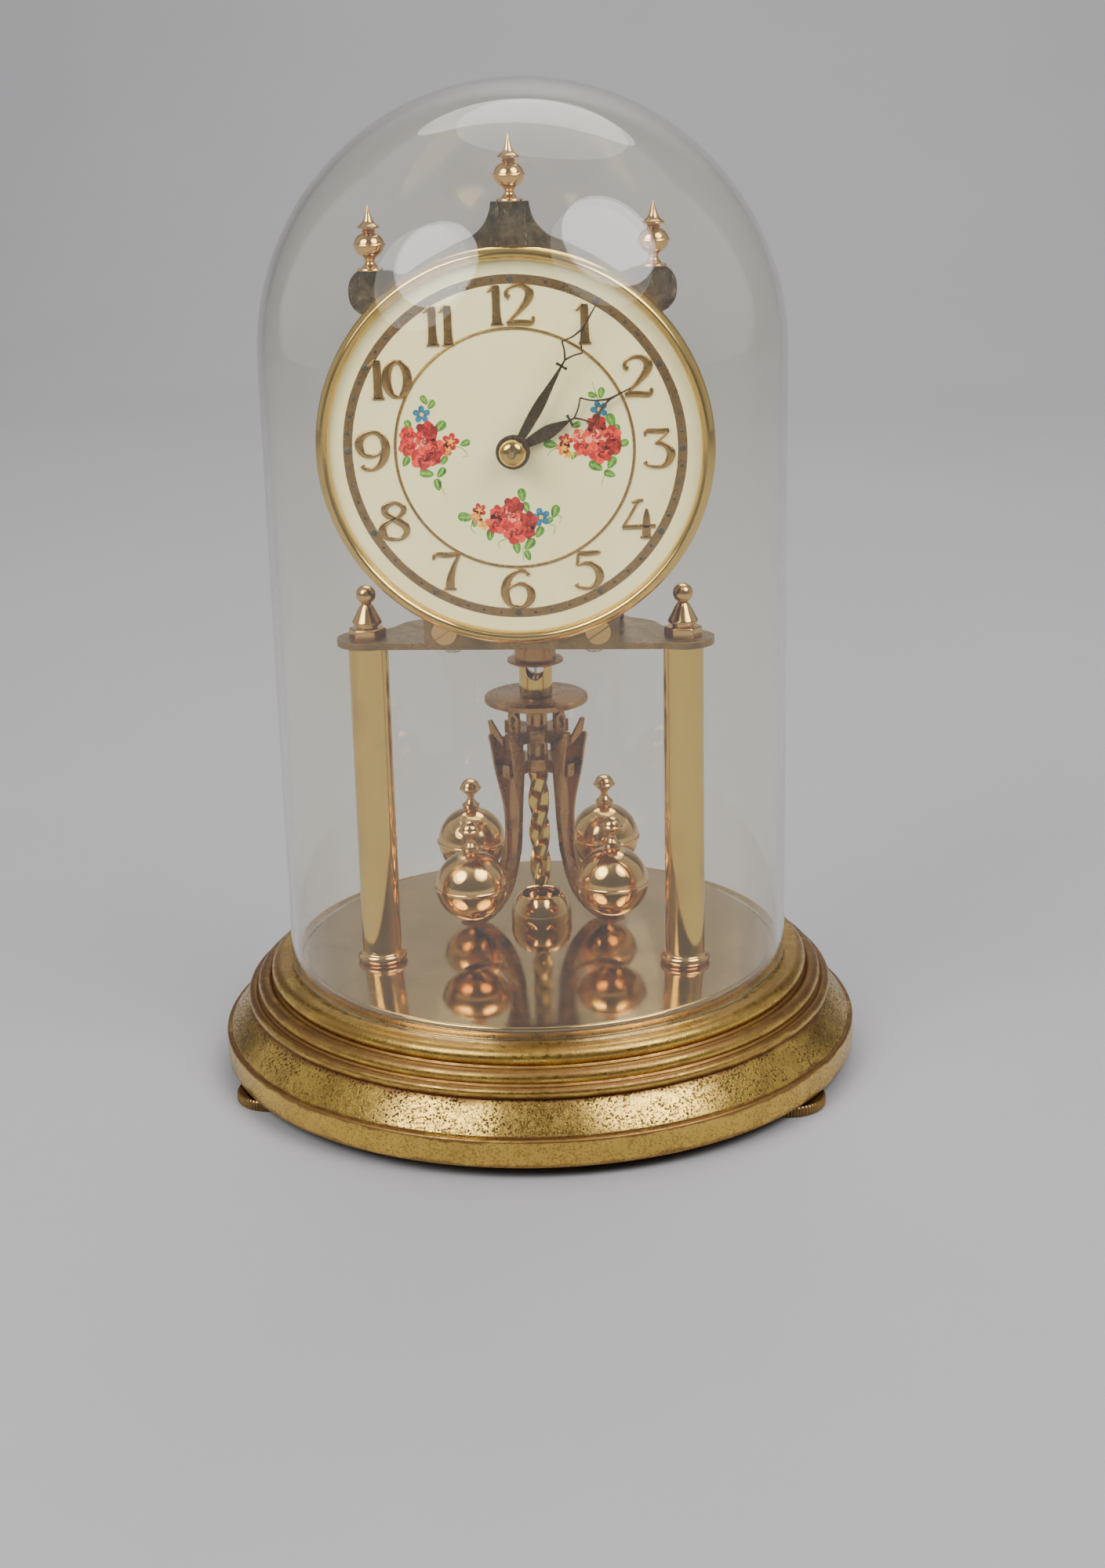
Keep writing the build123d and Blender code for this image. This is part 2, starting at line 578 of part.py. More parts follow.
finial_spots = [(0.0, CROWN_Z), (-CROWN_SIDE_X, CROWN_SIDE_Z), (CROWN_SIDE_X, CROWN_SIDE_Z)]
crown_y = FRONT_FACE - CROWN_T / 2
with BuildPart() as crown_finials:
    for x, z0 in finial_spots:
        with BuildSketch(upright((x, crown_y))):
            with BuildLine():
                Polyline((0, z0), (3.5, z0), (3.5, z0 + 0.6), (2.2, z0 + 0.9))
                Spline((2.2, z0 + 0.9), (1.3, z0 + 2.2), (1.75, z0 + 3.3),
                       tangents=((-0.6, 0.8), (0.7, 0.7)))
                Line((1.75, z0 + 3.3), (1.95, z0 + 3.6))
                ThreePointArc((1.95, z0 + 3.6), (3.4, z0 + 4.8), (4.0, z0 + 6.7))
                Polyline((4.0, z0 + 6.7), (4.5, z0 + 6.9), (4.0, z0 + 7.2))
                ThreePointArc((4.0, z0 + 7.2), (3.2, z0 + 9.0), (1.7, z0 + 10.1))
                Polyline((1.7, z0 + 10.1), (1.7, z0 + 10.8), (3.1, z0 + 11.3), (2.9, z0 + 11.7))
                Spline((2.9, z0 + 11.7), (1.0, z0 + 14.2), (0.15, z0 + 17.2),
                       tangents=((-0.8, 0.6), (-0.15, 1)))
                Polyline((0.15, z0 + 17.2), (0, z0 + 17.3), (0, z0))
            make_face()
        revolve(axis=Axis((x, crown_y, 0), (0, 0, 1)))
finish(crown_finials, "crown_finials")

# ---------------------------------------------------------------- gear train


def wheel(centre, y0, y1, teeth, module, phase, spokes):
    """A spoked toothed wheel between two depths."""
    rim = teeth * module / 2 - 1.25 * module - 1.2
    with BuildSketch(facing(y1)) as disc:
        gear_face(centre, teeth, module, phase)
        crossings(centre, 3.0, rim, spokes, 1.3)
    extrude(disc.sketch, amount=y1 - y0)


def pinion(centre, y0, y1, teeth, module, phase):
    """A small leaf pinion between two depths."""
    with BuildSketch(facing(y1)) as disc:
        gear_face(centre, teeth, module, phase, tall=0.9, deep=1.2)
    extrude(disc.sketch, amount=y1 - y0)


second_pinion_phase = mesh_phase(BARREL, BARREL_T, 0, SECOND, LEAF_10)
third_pinion_phase = mesh_phase(SECOND, WHEEL_T, 0, THIRD, LEAF_8)
centre_pinion_phase = mesh_phase(THIRD, WHEEL_T, 0, CENTRE, LEAF_8)
escape_pinion_phase = mesh_phase(CENTRE, WHEEL_T, 0, ESCAPE, LEAF_8)
minute_phase = mesh_phase(CENTRE, CANNON_T, 0, MINUTE_AXIS, MINUTE_T)
hour_phase = mesh_phase(MINUTE_AXIS, LEAF_12, 0, CENTRE, HOUR_T)

DRUM_R = 18.8
with BuildPart() as barrel:
    with BuildSketch(facing(-3.0)):
        gear_face(BARREL, BARREL_T, BARREL_M, 0)
        round_at(BARREL, 2.5 + RUN, Mode.SUBTRACT)
    extrude(amount=1.5)
    with BuildSketch(facing(-4.5)):
        round_at(BARREL, DRUM_R)
        round_at(BARREL, DRUM_R - 0.9, Mode.SUBTRACT)
    extrude(amount=17.0)
    with BuildSketch(facing(-20.5)):
        round_at(BARREL, DRUM_R)
        round_at(BARREL, 2.5 + RUN, Mode.SUBTRACT)
    extrude(amount=1.0)
finish(barrel, "barrel")

with BuildPart() as mainspring:
    with BuildSketch(facing(-5.0)):
        for turn in range(9):
            round_at(BARREL, DRUM_R - 1.4 - 0.9 * turn)
            round_at(BARREL, DRUM_R - 1.75 - 0.9 * turn, Mode.SUBTRACT)
        for turn in range(8):
            with Locations((BARREL[0], BARREL[1] + DRUM_R - 2.0 - 0.9 * turn)):
                Rectangle(0.6, 0.75)
    extrude(amount=14.6)
finish(mainspring, "mainspring")

SQUARE = 2.9
with BuildPart() as barrel_arbor:
    arbor(BARREL, [(-27.6, -21.9, 2.0), (-21.9, -2.6, 2.5), (-2.6, 3.4, 2.4)])
    with BuildSketch(facing(10.4)):
        with Locations(BARREL):
            Rectangle(SQUARE, SQUARE)
    extrude(amount=7.0)
finish(barrel_arbor, "barrel_arbor")

RATCHET_T, RATCHET_R = 16, 7.6
with BuildPart() as ratchet_wheel:
    with BuildSketch(facing(3.2)):
        points = []
        for i in range(RATCHET_T):
            for r, a in ((RATCHET_R - 1.3, 0.0), (RATCHET_R, 1.0)):
                turn = radians((i + a) * 360 / RATCHET_T)
                points.append((BARREL[0] + r * cos(turn), BARREL[1] + r * sin(turn)))
        with BuildLine():
            Polyline(*points, close=True)
        make_face()
        round_at(BARREL, 2.4, Mode.SUBTRACT)
    extrude(amount=1.4)
finish(ratchet_wheel, "ratchet_wheel")

with BuildPart() as click:
    click_tip = (BARREL[0] + 6.9, BARREL[1] - 5.2)
    with BuildSketch(facing(3.2)):
        round_at(CLICK, 2.0)
        with BuildLine():
            Polyline((CLICK[0] - 1.9, CLICK[1] - 0.5), (CLICK[0] - 1.2, CLICK[1] - 4.4),
                     (click_tip[0] + 0.7, click_tip[1]), (click_tip[0] + 2.3, click_tip[1] + 0.2),
                     (CLICK[0] + 1.5, CLICK[1] - 3.6),
                     (CLICK[0] + 1.9, CLICK[1] - 0.5), close=True)
        make_face()
        round_at(CLICK, 1.0 + RUN, Mode.SUBTRACT)
    extrude(amount=1.4)
finish(click, "click")

with BuildPart() as second_wheel:
    arbor(SECOND, [(-27.7, -26.2, PIVOT_R), (-26.2, -0.3, ARBOR_R), (-0.3, 1.2, PIVOT_R)])
    pinion(SECOND, -5.6, -2.2, LEAF_10, BARREL_M, second_pinion_phase)
    wheel(SECOND, -24.4, -23.4, WHEEL_T, WHEEL_M, 0, 4)
finish(second_wheel, "second_wheel")

with BuildPart() as third_wheel:
    arbor(THIRD, [(-27.7, -26.2, PIVOT_R), (-26.2, -0.3, ARBOR_R), (-0.3, 1.2, PIVOT_R)])
    pinion(THIRD, -25.2, -22.6, LEAF_8, WHEEL_M, third_pinion_phase)
    wheel(THIRD, -10.0, -9.0, WHEEL_T, WHEEL_M, 0, 4)
finish(third_wheel, "third_wheel")

with BuildPart() as centre_wheel:
    arbor(CENTRE, [(-44.2, -26.3, 0.8), (-26.3, -0.3, ARBOR_R), (-0.3, 1.2, PIVOT_R)])
    pinion(CENTRE, -11.0, -8.0, LEAF_8, WHEEL_M, centre_pinion_phase)
    wheel(CENTRE, -14.4, -13.4, WHEEL_T, WHEEL_M, 0, 4)
finish(centre_wheel, "centre_wheel")

with BuildPart() as escape_wheel:
    arbor(ESCAPE, [(-27.7, -26.2, PIVOT_R), (-26.2, -0.3, ARBOR_R), (-0.3, 1.2, PIVOT_R)])
    pinion(ESCAPE, -15.4, -12.4, LEAF_8, WHEEL_M, escape_pinion_phase)
    with BuildSketch(facing(-5.6)):
        points = []
        for i in range(ESCAPE_T):
            for r, a in ((ESCAPE_R - 1.7, 0.0), (ESCAPE_R, 0.35), (ESCAPE_R, 0.45), (ESCAPE_R - 1.7, 0.62)):
                turn = radians((i + a) * 360 / ESCAPE_T)
                points.append((ESCAPE[0] + r * cos(turn), ESCAPE[1] + r * sin(turn)))
        with BuildLine():
            Polyline(*points, close=True)
        make_face()
        crossings(ESCAPE, 2.4, ESCAPE_R - 2.9, 4, 1.1)
    extrude(amount=0.8)
finish(escape_wheel, "escape_wheel")

# anchor: pallets over the escape wheel, and the pin that reaches up into the fork
PIN_Y = 6.0
FORK_Z = 225.0
PALLET_GAP = 0.85
with BuildPart() as anchor:
    arbor(ANCHOR, [(-27.7, -26.2, PIVOT_R), (-26.2, 7.9, 0.6), (7.9, 9.6, PIVOT_R)])
    line = atan2(ANCHOR[1] - ESCAPE[1], ANCHOR[0] - ESCAPE[0])
    with BuildSketch(facing(-5.5)):
        for s in (-1, 1):
            spots = []
            for r, a in ((ESCAPE_R + 3.6, 38), (ESCAPE_R + PALLET_GAP + 0.5, 46)):
                turn = line + s * radians(a)
                spots.append((ESCAPE[0] + r * cos(turn), ESCAPE[1] + r * sin(turn)))
            with BuildLine() as pallet_arm:
                Polyline(ANCHOR, spots[0], spots[1])
            trace(pallet_arm.line, line_width=1.0)
        round_at(ANCHOR, 1.7)
    extrude(amount=1.0)
    arbor(ANCHOR, [(PIN_Y - 1.4, PIN_Y + 1.4, 1.5)])
    with BuildSketch(Plane.XY.offset(ANCHOR[1] + 1.0)):
        with Locations((0, PIN_Y)):
            Circle(0.4)
    extrude(amount=FORK_Z + 3.0 - ANCHOR[1] - 1.0)
finish(anchor, "anchor")

with BuildPart() as anchor_bridge:
    with BuildSketch(facing(10.0)):
        with Locations((0, 203.4)):
            RectangleRounded(8.0, 14.4, 2.0)
        round_at(ANCHOR, PIVOT_R + RUN, Mode.SUBTRACT)
    extrude(amount=1.5)
    with BuildSketch(facing(8.5)):
        with Locations((0, 198.9)):
            RectangleRounded(8.0, 5.4, 1.0)
    extrude(amount=8.5 - back_face)
    with BuildSketch(facing(10.0)):
        round_at((0, 198.9), 0.9)
    extrude(amount=10.0, mode=Mode.SUBTRACT)
finish(anchor_bridge, "anchor_bridge")

# ---------------------------------------------------------------- motion work, dial side
with BuildPart() as cannon_pinion:
    arbor(CENTRE, [(-38.6, -28.8, 1.35)])
    pinion(CENTRE, -30.2, -28.8, CANNON_T, MINUTE_M, 0)
    with BuildSketch(facing(-28.8)):
        round_at(CENTRE, 0.82)
    extrude(amount=10.0, mode=Mode.SUBTRACT)
finish(cannon_pinion, "cannon_pinion")

with BuildPart() as minute_wheel:
    wheel(MINUTE_AXIS, -30.1, -29.3, MINUTE_T, MINUTE_M, minute_phase, 3)
    pinion(MINUTE_AXIS, -32.6, -30.1, LEAF_12, HOUR_M, 0)
    with BuildSketch(facing(-29.3)):
        round_at(MINUTE_AXIS, 0.6 + RUN)
    extrude(amount=4.0, mode=Mode.SUBTRACT)
finish(minute_wheel, "minute_wheel")

with BuildPart() as hour_wheel:
    wheel(CENTRE, -32.0, -31.2, HOUR_T, HOUR_M, hour_phase, 3)
    arbor(CENTRE, [(-36.3, -31.2, 2.1)])
    with BuildSketch(facing(-31.2)):
        round_at(CENTRE, 1.35 + RUN)
    extrude(amount=6.0, mode=Mode.SUBTRACT)
finish(hour_wheel, "hour_wheel")


def along(angle, r, side=0.0):
    """Point on the dial at a clock angle, r from the centre and side to its right."""
    a = radians(angle)
    return r * sin(a) + side * cos(a), DIAL_Z + r * cos(a) - side * sin(a)


def polygon(*points, mode=Mode.ADD):
    """A closed straight-sided shape in the current sketch."""
    with BuildLine() as outline:
        Polyline(*points, close=True)
    make_face(outline.edges(), mode=mode)


def hand_outline(angle, boss_r, blade, cross, kite, tip, widest):
    """Pierced spade hand: leaf blade, small cross-bar, open kite, fine tip."""
    start, mid, end = blade
    low, wide_at, half, high = kite
    round_at(CENTRE, boss_r)
    polygon(along(angle, start, 1.0), along(angle, mid, widest), along(angle, end, 0.45),
            along(angle, end, -0.45), along(angle, mid, -widest), along(angle, start, -1.0))
    polygon(along(angle, cross - 0.6, 1.6), along(angle, cross + 0.6, 1.6),
            along(angle, cross + 0.6, -1.6), along(angle, cross - 0.6, -1.6))
    for grow, mode in ((0.0, Mode.ADD), (0.75, Mode.SUBTRACT)):
        polygon(along(angle, low + grow, 0), along(angle, wide_at, half - grow),
                along(angle, high - 1.6 * grow, 0), along(angle, wide_at, grow - half), mode=mode)
    polygon(along(angle, high - 2.0, 0.55), along(angle, tip, 0.12),
            along(angle, tip, -0.12), along(angle, high - 2.0, -0.55))
    polygon(along(angle, end - 0.5, 0.45), along(angle, low + 0.8, 0.4),
            along(angle, low + 0.8, -0.4), along(angle, end - 0.5, -0.45))


with BuildPart() as hour_hand:
    with BuildSketch(facing(-35.7)):
        hand_outline(HOUR_ANGLE, 4.3, (3.0, 9.5, 16.0), 17.0, (18.4, 24.5, 4.2, 31.5), 37.6, 1.9)
        round_at(CENTRE, 2.1, Mode.SUBTRACT)
    extrude(amount=0.5)
finish(hour_hand, "hour_hand")

with BuildPart() as minute_hand:
    with BuildSketch(facing(-38.0)):
        hand_outline(MINUTE_ANGLE, 3.6, (2.6, 13.0, 25.2), 26.4, (28.2, 34.5, 3.1, 41.0), 47.0, 1.7)
        round_at(CENTRE, 1.35, Mode.SUBTRACT)
    extrude(amount=0.5)
finish(minute_hand, "minute_hand")

with BuildPart() as hand_nut:
    with BuildSketch(dial_plane):
        with BuildLine():
            Polyline((0.82, -38.6), (4.8, -38.6), (4.8, -39.3), (3.7, -39.3), (3.7, -39.9))
            ThreePointArc((3.7, -39.9), (3.0, -42.0), (1.3, -43.1))
            Polyline((1.3, -43.1), (0.82, -43.1), (0.82, -38.6))
        make_face()
    revolve(axis=dial_axis)
finish(hand_nut, "hand_nut")

# ---------------------------------------------------------------- suspension
SHELF_Z = 238.0
RIBBON_W, RIBBON_T = 0.8, 0.1
BLOCK_Z = 114.2
with BuildPart() as suspension_bracket:
    with BuildSketch(facing(back_face + 1.5)):
        with Locations((-BRACKET_X, 219.0), (BRACKET_X, 219.0)):
            Rectangle(4.0, 40.0)
        with Locations((-BRACKET_X, 203.5), (BRACKET_X, 203.5)):
            Circle(0.9, mode=Mode.SUBTRACT)
    extrude(amount=1.5)
    with BuildSketch(Plane.XY.offset(SHELF_Z)):
        with Locations((0, (back_face + 19.5) / 2)):
            Rectangle(22.0, 19.5 - back_face)
        with Locations((0, PEND_Y)):
            Rectangle(1.6, 1.2, mode=Mode.SUBTRACT)
    extrude(amount=1.6)
finish(suspension_bracket, "suspension_bracket")

with BuildPart() as back_screws:
    for x in (-BRACKET_X, BRACKET_X):
        arbor((x, 203.5), [(0.1, back_face + 1.5, 0.87), (back_face + 1.5, back_face + 2.8, 1.9)])
    arbor((0, 198.9), [(0.1, 10.0, 0.87), (10.0, 11.2, 1.9)])
    arbor(CLICK, [(0.1, 3.3, 1.0), (3.3, 4.4, 2.2)])
finish(back_screws, "back_screws")

with BuildPart() as suspension_top_block:
    with BuildSketch(Plane.XY.offset(SHELF_Z + 1.6)):
        with Locations((0, PEND_Y)):
            Rectangle(5.6, 2.2)
            Rectangle(RIBBON_W + 0.1, RIBBON_T + 0.1, mode=Mode.SUBTRACT)
    extrude(amount=3.6)
finish(suspension_top_block, "suspension_top_block")

with BuildPart() as suspension_spring:
    with BuildSketch(Plane.XY.offset(BLOCK_Z)):
        with Locations((0, PEND_Y)):
            Rectangle(RIBBON_W, RIBBON_T)
    extrude(amount=SHELF_Z + 5.0 - BLOCK_Z)
finish(suspension_spring, "suspension_spring")

with BuildPart() as suspension_fork:
    with BuildSketch(Plane.XY.offset(FORK_Z)):
        with Locations((0, PEND_Y - 0.5)):
            Rectangle(3.0, 4.0)
        for s in (-1, 1):
            with Locations((s * 1.0, (3.4 + PEND_Y) / 2)):
                Rectangle(0.9, PEND_Y - 3.4)
        with Locations((0, PEND_Y)):
            Circle(0.5, mode=Mode.SUBTRACT)
    extrude(amount=1.2)
finish(suspension_fork, "suspension_fork")

with BuildPart() as suspension_bottom_block:
    with BuildSketch(Plane.XY.offset(BLOCK_Z - 2.8)):
        with Locations((0, PEND_Y)):
            Rectangle(1.8, 4.6)
    extrude(amount=2.8)
    with BuildSketch(Plane.YZ.offset(-1.0)):
        with Locations((PEND_Y, BLOCK_Z - 1.4)):
            Circle(0.75)
    extrude(amount=2.0, mode=Mode.SUBTRACT)
finish(suspension_bottom_block, "suspension_bottom_block")

# ---------------------------------------------------------------- pendulum
HEAD_R = 5.1
HEAD_TOP = 118.2
with BuildPart() as pendulum_head:
    with BuildSketch(Plane.XY.offset(ROD_TOP)):
        with Locations((0, PEND_Y)):
            Circle(HEAD_R)
    extrude(amount=HEAD_TOP - ROD_TOP)
    with BuildSketch(Plane.XY.offset(ROD_TOP + 1.2)):
        with Locations((0, PEND_Y)):
            Circle(HEAD_R - 1.3)
    extrude(amount=HEAD_TOP - ROD_TOP - 1.2, mode=Mode.SUBTRACT)
    with BuildSketch(facing(PEND_Y + HEAD_R + 1)):
        with Locations((0, HEAD_TOP - 1.1)):
            Circle(2.8)
        with Locations((0, HEAD_TOP)):
            Rectangle(5.6, 2.2)
    extrude(amount=2 * HEAD_R + 2, mode=Mode.SUBTRACT)
    with BuildSketch(Plane.YZ.offset(-HEAD_R + 0.5)):
        with Locations((PEND_Y, BLOCK_Z - 1.4)):
            Circle(0.7)
    extrude(amount=2 * HEAD_R - 1.0)
finish(pendulum_head, "pendulum_head")

with BuildPart() as pendulum_rod:
    with BuildSketch(Plane.XY.offset(HINGE_Z - 2.0)):
        with Locations((0, PEND_Y)):
            Circle(ROD_R)
    extrude(amount=ROD_TOP - HINGE_Z + 2.0)
finish(pendulum_rod, "pendulum_rod")

with BuildPart() as regulating_disc:
    with BuildSketch(Plane.XY.offset(DISC_Z)):
        with Locations((0, PEND_Y)):
            Circle(DISC_R)
            Circle(ROD_R + RUN, mode=Mode.SUBTRACT)
            with PolarLocations(DISC_R + 0.08, 90):
                Circle(0.3, mode=Mode.SUBTRACT)
    extrude(amount=DISC_T)
finish(regulating_disc, "regulating_disc")


def radial_plane(angle):
    """Vertical plane through the pendulum's axis: x is the radius, y is the height."""
    a = radians(angle + PEND_TURN)
    return Plane(origin=(0, PEND_Y, 0), x_dir=(cos(a), sin(a), 0), z_dir=(sin(a), -cos(a), 0))


def cross_plane(angle, radius):
    """Vertical plane across an arm at this radius: x runs along the hinge pin."""
    a = radians(angle + PEND_TURN)
    origin = (radius * cos(a), PEND_Y + radius * sin(a), 0)
    return Plane(origin=origin, x_dir=(-sin(a), cos(a), 0), z_dir=(cos(a), sin(a), 0))


BRACKET_H = 4.0
PIN_R = 0.6


def bracket_cross(z, bore, reach):
    """Four-armed bracket about the pendulum rod, its bottom at height z."""
    with BuildSketch(Plane.XY.offset(z)) as cross:
        with Locations((0, PEND_Y)):
            RegularPolygon(5.9, 8, rotation=22.5 + PEND_TURN)
            with PolarLocations(reach / 2, 4, 45 + PEND_TURN):
                Rectangle(reach, 3.0)
            Circle(bore, mode=Mode.SUBTRACT)
    extrude(cross.sketch, amount=BRACKET_H)


def rivets(z):
    """Rivet heads on the flat faces between a bracket's arms."""
    for face in (0, 90, 180, 270):
        with BuildSketch(cross_plane(face, 5.0)) as heads:
            with Locations((-1.4, z), (1.4, z)):
                Circle(0.55)
        extrude(heads.sketch, amount=0.9)


with BuildPart() as arm_bracket:
    bracket_cross(HINGE_Z - BRACKET_H / 2, ROD_R, 14.0)
    rivets(HINGE_Z)
    for angle in ARM_ANGLES.values():
        with BuildSketch(radial_plane(angle)):
            with Locations((HINGE_R, HINGE_Z)):
                Circle(PIN_R)
        extrude(amount=4.9, both=True)
finish(arm_bracket, "arm_bracket")

with BuildPart() as slider_bracket:
    bracket_cross(SLIDER_Z - BRACKET_H / 2, ROD_R + RUN, 12.6)
    rivets(SLIDER_Z)
    top = SLIDER_Z + BRACKET_H / 2
    for angle in ARM_ANGLES.values():
        with BuildSketch(cross_plane(angle, 9.2)):
            with Locations((0, top + 2.0)):
                Rectangle(4.0, 4.6)
            with Locations((0, top + 4.2)):
                Circle(2.0)
            with Locations((0, top + 3.2)):
                SlotCenterToCenter(2.2, 1.9, rotation=90, mode=Mode.SUBTRACT)
        extrude(amount=1.2)
finish(slider_bracket, "slider_bracket")

# arms: pressed troughs, open outwards, that widen upwards into two ears and curl under the ball
WEB_R = 10.5
SHEET = 0.8
half_widths = [(99.5, 4.9), (88.0, 4.5), (75.0, 3.4), (63.0, 2.6), (52.0, 2.3), (41.0, 2.3)]


def width_outline(inset):
    """Front outline of an arm, narrowed by the sheet's thickness for its inside."""
    right = [(w - inset, z) for z, w in half_widths]
    left = [(-x, z) for x, z in reversed(right)]
    polygon(*right, *left)


for name, angle in ARM_ANGLES.items():
    with BuildPart() as trough:
        with BuildSketch(radial_plane(angle)):
            with BuildLine():
                Polyline((WEB_R + SHEET, 101), (WEB_R + SHEET, 68.0), (11.9, 60.5), (13.4, 55.5),
                         (20, 55.5), (20, 101), (WEB_R + SHEET, 101))
            make_face()
        extrude(amount=6, both=True)
        with BuildSketch(cross_plane(angle, 0)):
            width_outline(SHEET)
        extrude(amount=40, mode=Mode.INTERSECT)
    with BuildPart() as arm:
        with BuildSketch(radial_plane(angle)):
            with BuildLine():
                ear = Polyline((WEB_R, 68.0), (WEB_R, 93.2), (14.9, 98.3))
                ThreePointArc(ear @ 1, (15.9, 98.9), (16.6, 98.0))
                front = Spline((16.6, 98.0), (15.4, 92.0), (14.6, 87.0), (12.9, 79.0), (12.3, 70.0))
                outer = Spline(front @ 1, (12.9, 60.5), (15.3, 52.6), (19.4, 47.2), (25.0, 44.2),
                               (30.4, 43.6), tangents=(front % 1, (1, 0)))
                Line(outer @ 1, (32.6, 43.6))
                end = ThreePointArc((32.6, 43.6), (33.2, 43.0), (32.6, 42.4))
                Line(end @ 1, (30.4, 42.4))
                Spline((30.4, 42.4), (24.3, 43.0), (18.2, 46.2), (13.6, 52.0), (11.2, 60.0),
                       (WEB_R, 68.0), tangents=((-1, 0), (0, 1)))
            make_face()
        extrude(amount=6, both=True)
        with BuildSketch(cross_plane(angle, 0)):
            width_outline(0)
        extrude(amount=40, mode=Mode.INTERSECT)
        add(trough.part, mode=Mode.SUBTRACT)
        with BuildSketch(radial_plane(angle)):
            with Locations((HINGE_R, HINGE_Z)):
                Circle(PIN_R + RUN)
        extrude(amount=6, both=True, mode=Mode.SUBTRACT)
        with BuildSketch(cross_plane(angle, 9.0)):
            with Locations((0, HINGE_Z)):
                Rectangle(4.0, BRACKET_H + 1.6)
        extrude(amount=2.5, mode=Mode.SUBTRACT)
        with BuildSketch(Plane.XY.offset(41)):
            a = radians(angle + PEND_TURN)
            with Locations((BALL_PITCH_R * cos(a), PEND_Y + BALL_PITCH_R * sin(a))):
                Circle(0.9)
        extrude(amount=4, mode=Mode.SUBTRACT)
    finish(arm, f"arm_{name}")

# balls: brass spheres with a belt, held by a knob above and a foot below
belt_r = sqrt(BALL_R ** 2 - 0.6 ** 2)
foot_z = BALL_Z - sqrt(BALL_R ** 2 - 3.2 ** 2)
top = BALL_Z + BALL_R
neck_z = BALL_Z + sqrt(BALL_R ** 2 - 2.1 ** 2)
low_side = (BALL_R * sin(radians(60)), BALL_Z - BALL_R * cos(radians(60)))
high_side = (BALL_R * sin(radians(50)), BALL_Z + BALL_R * cos(radians(50)))
KNOB_R = 3.2
knob_z = top + 6.6
knob_edge = sqrt(KNOB_R ** 2 - 0.6 ** 2)
knob_side = (KNOB_R * sqrt(0.5), knob_z + KNOB_R * sqrt(0.5))
for name, angle in ARM_ANGLES.items():
    a = radians(angle + PEND_TURN)
    spot = (BALL_PITCH_R * cos(a), PEND_Y + BALL_PITCH_R * sin(a))
    with BuildPart() as ball:
        with BuildSketch(upright(spot)):
            with BuildLine():
                Polyline((0, 42.0), (0.85, 42.0), (0.85, 43.7), (2.2, 43.7), (3.2, foot_z))
                ThreePointArc((3.2, foot_z), low_side, (belt_r, BALL_Z - 0.6))
                Polyline((belt_r, BALL_Z - 0.6), (11.3, BALL_Z - 0.45), (11.3, BALL_Z + 0.45),
                         (belt_r, BALL_Z + 0.6))
                ThreePointArc((belt_r, BALL_Z + 0.6), high_side, (2.1, neck_z))
                Polyline((2.1, neck_z), (2.1, top + 0.2), (2.9, top + 0.8))
                ThreePointArc((2.9, top + 0.8), (1.6, top + 2.2), (1.1, top + 4.0))
                Polyline((1.1, top + 4.0), (3.5, top + 6.4), (3.5, top + 6.9), (knob_edge, top + 7.2))
                ThreePointArc((knob_edge, top + 7.2), knob_side, (0, knob_z + KNOB_R))
                Line((0, knob_z + KNOB_R), (0, 42.0))
            make_face()
        revolve(axis=Axis((spot[0], spot[1], 0), (0, 0, 1)))
    finish(ball, f"ball_{name}")

TWIST_TOP = HINGE_Z - BRACKET_H / 2
TWIST_BOTTOM = 47.5
TWIST_PITCH = 43.0
TWIST_STEPS = 10
with BuildPart() as twisted_rod:
    for i in range(TWIST_STEPS + 1):
        height = TWIST_BOTTOM + (TWIST_TOP - TWIST_BOTTOM) * i / TWIST_STEPS
        with BuildSketch(Plane(origin=(0, PEND_Y, height), x_dir=(1, 0, 0), z_dir=(0, 0, 1))):
            RectangleRounded(4.9, 4.9, 0.5, rotation=360 * (height - TWIST_BOTTOM) / TWIST_PITCH)
    loft()
    with BuildSketch(Plane.XY.offset(40.5)):
        with Locations((0, PEND_Y)):
            Circle(0.8)
    extrude(amount=TWIST_BOTTOM - 40.5)
finish(twisted_rod, "twisted_rod")
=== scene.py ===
import json
import random
from math import atan2, cos, pi, radians, sin, sqrt

import bmesh
import bpy
from mathutils import Matrix, Vector

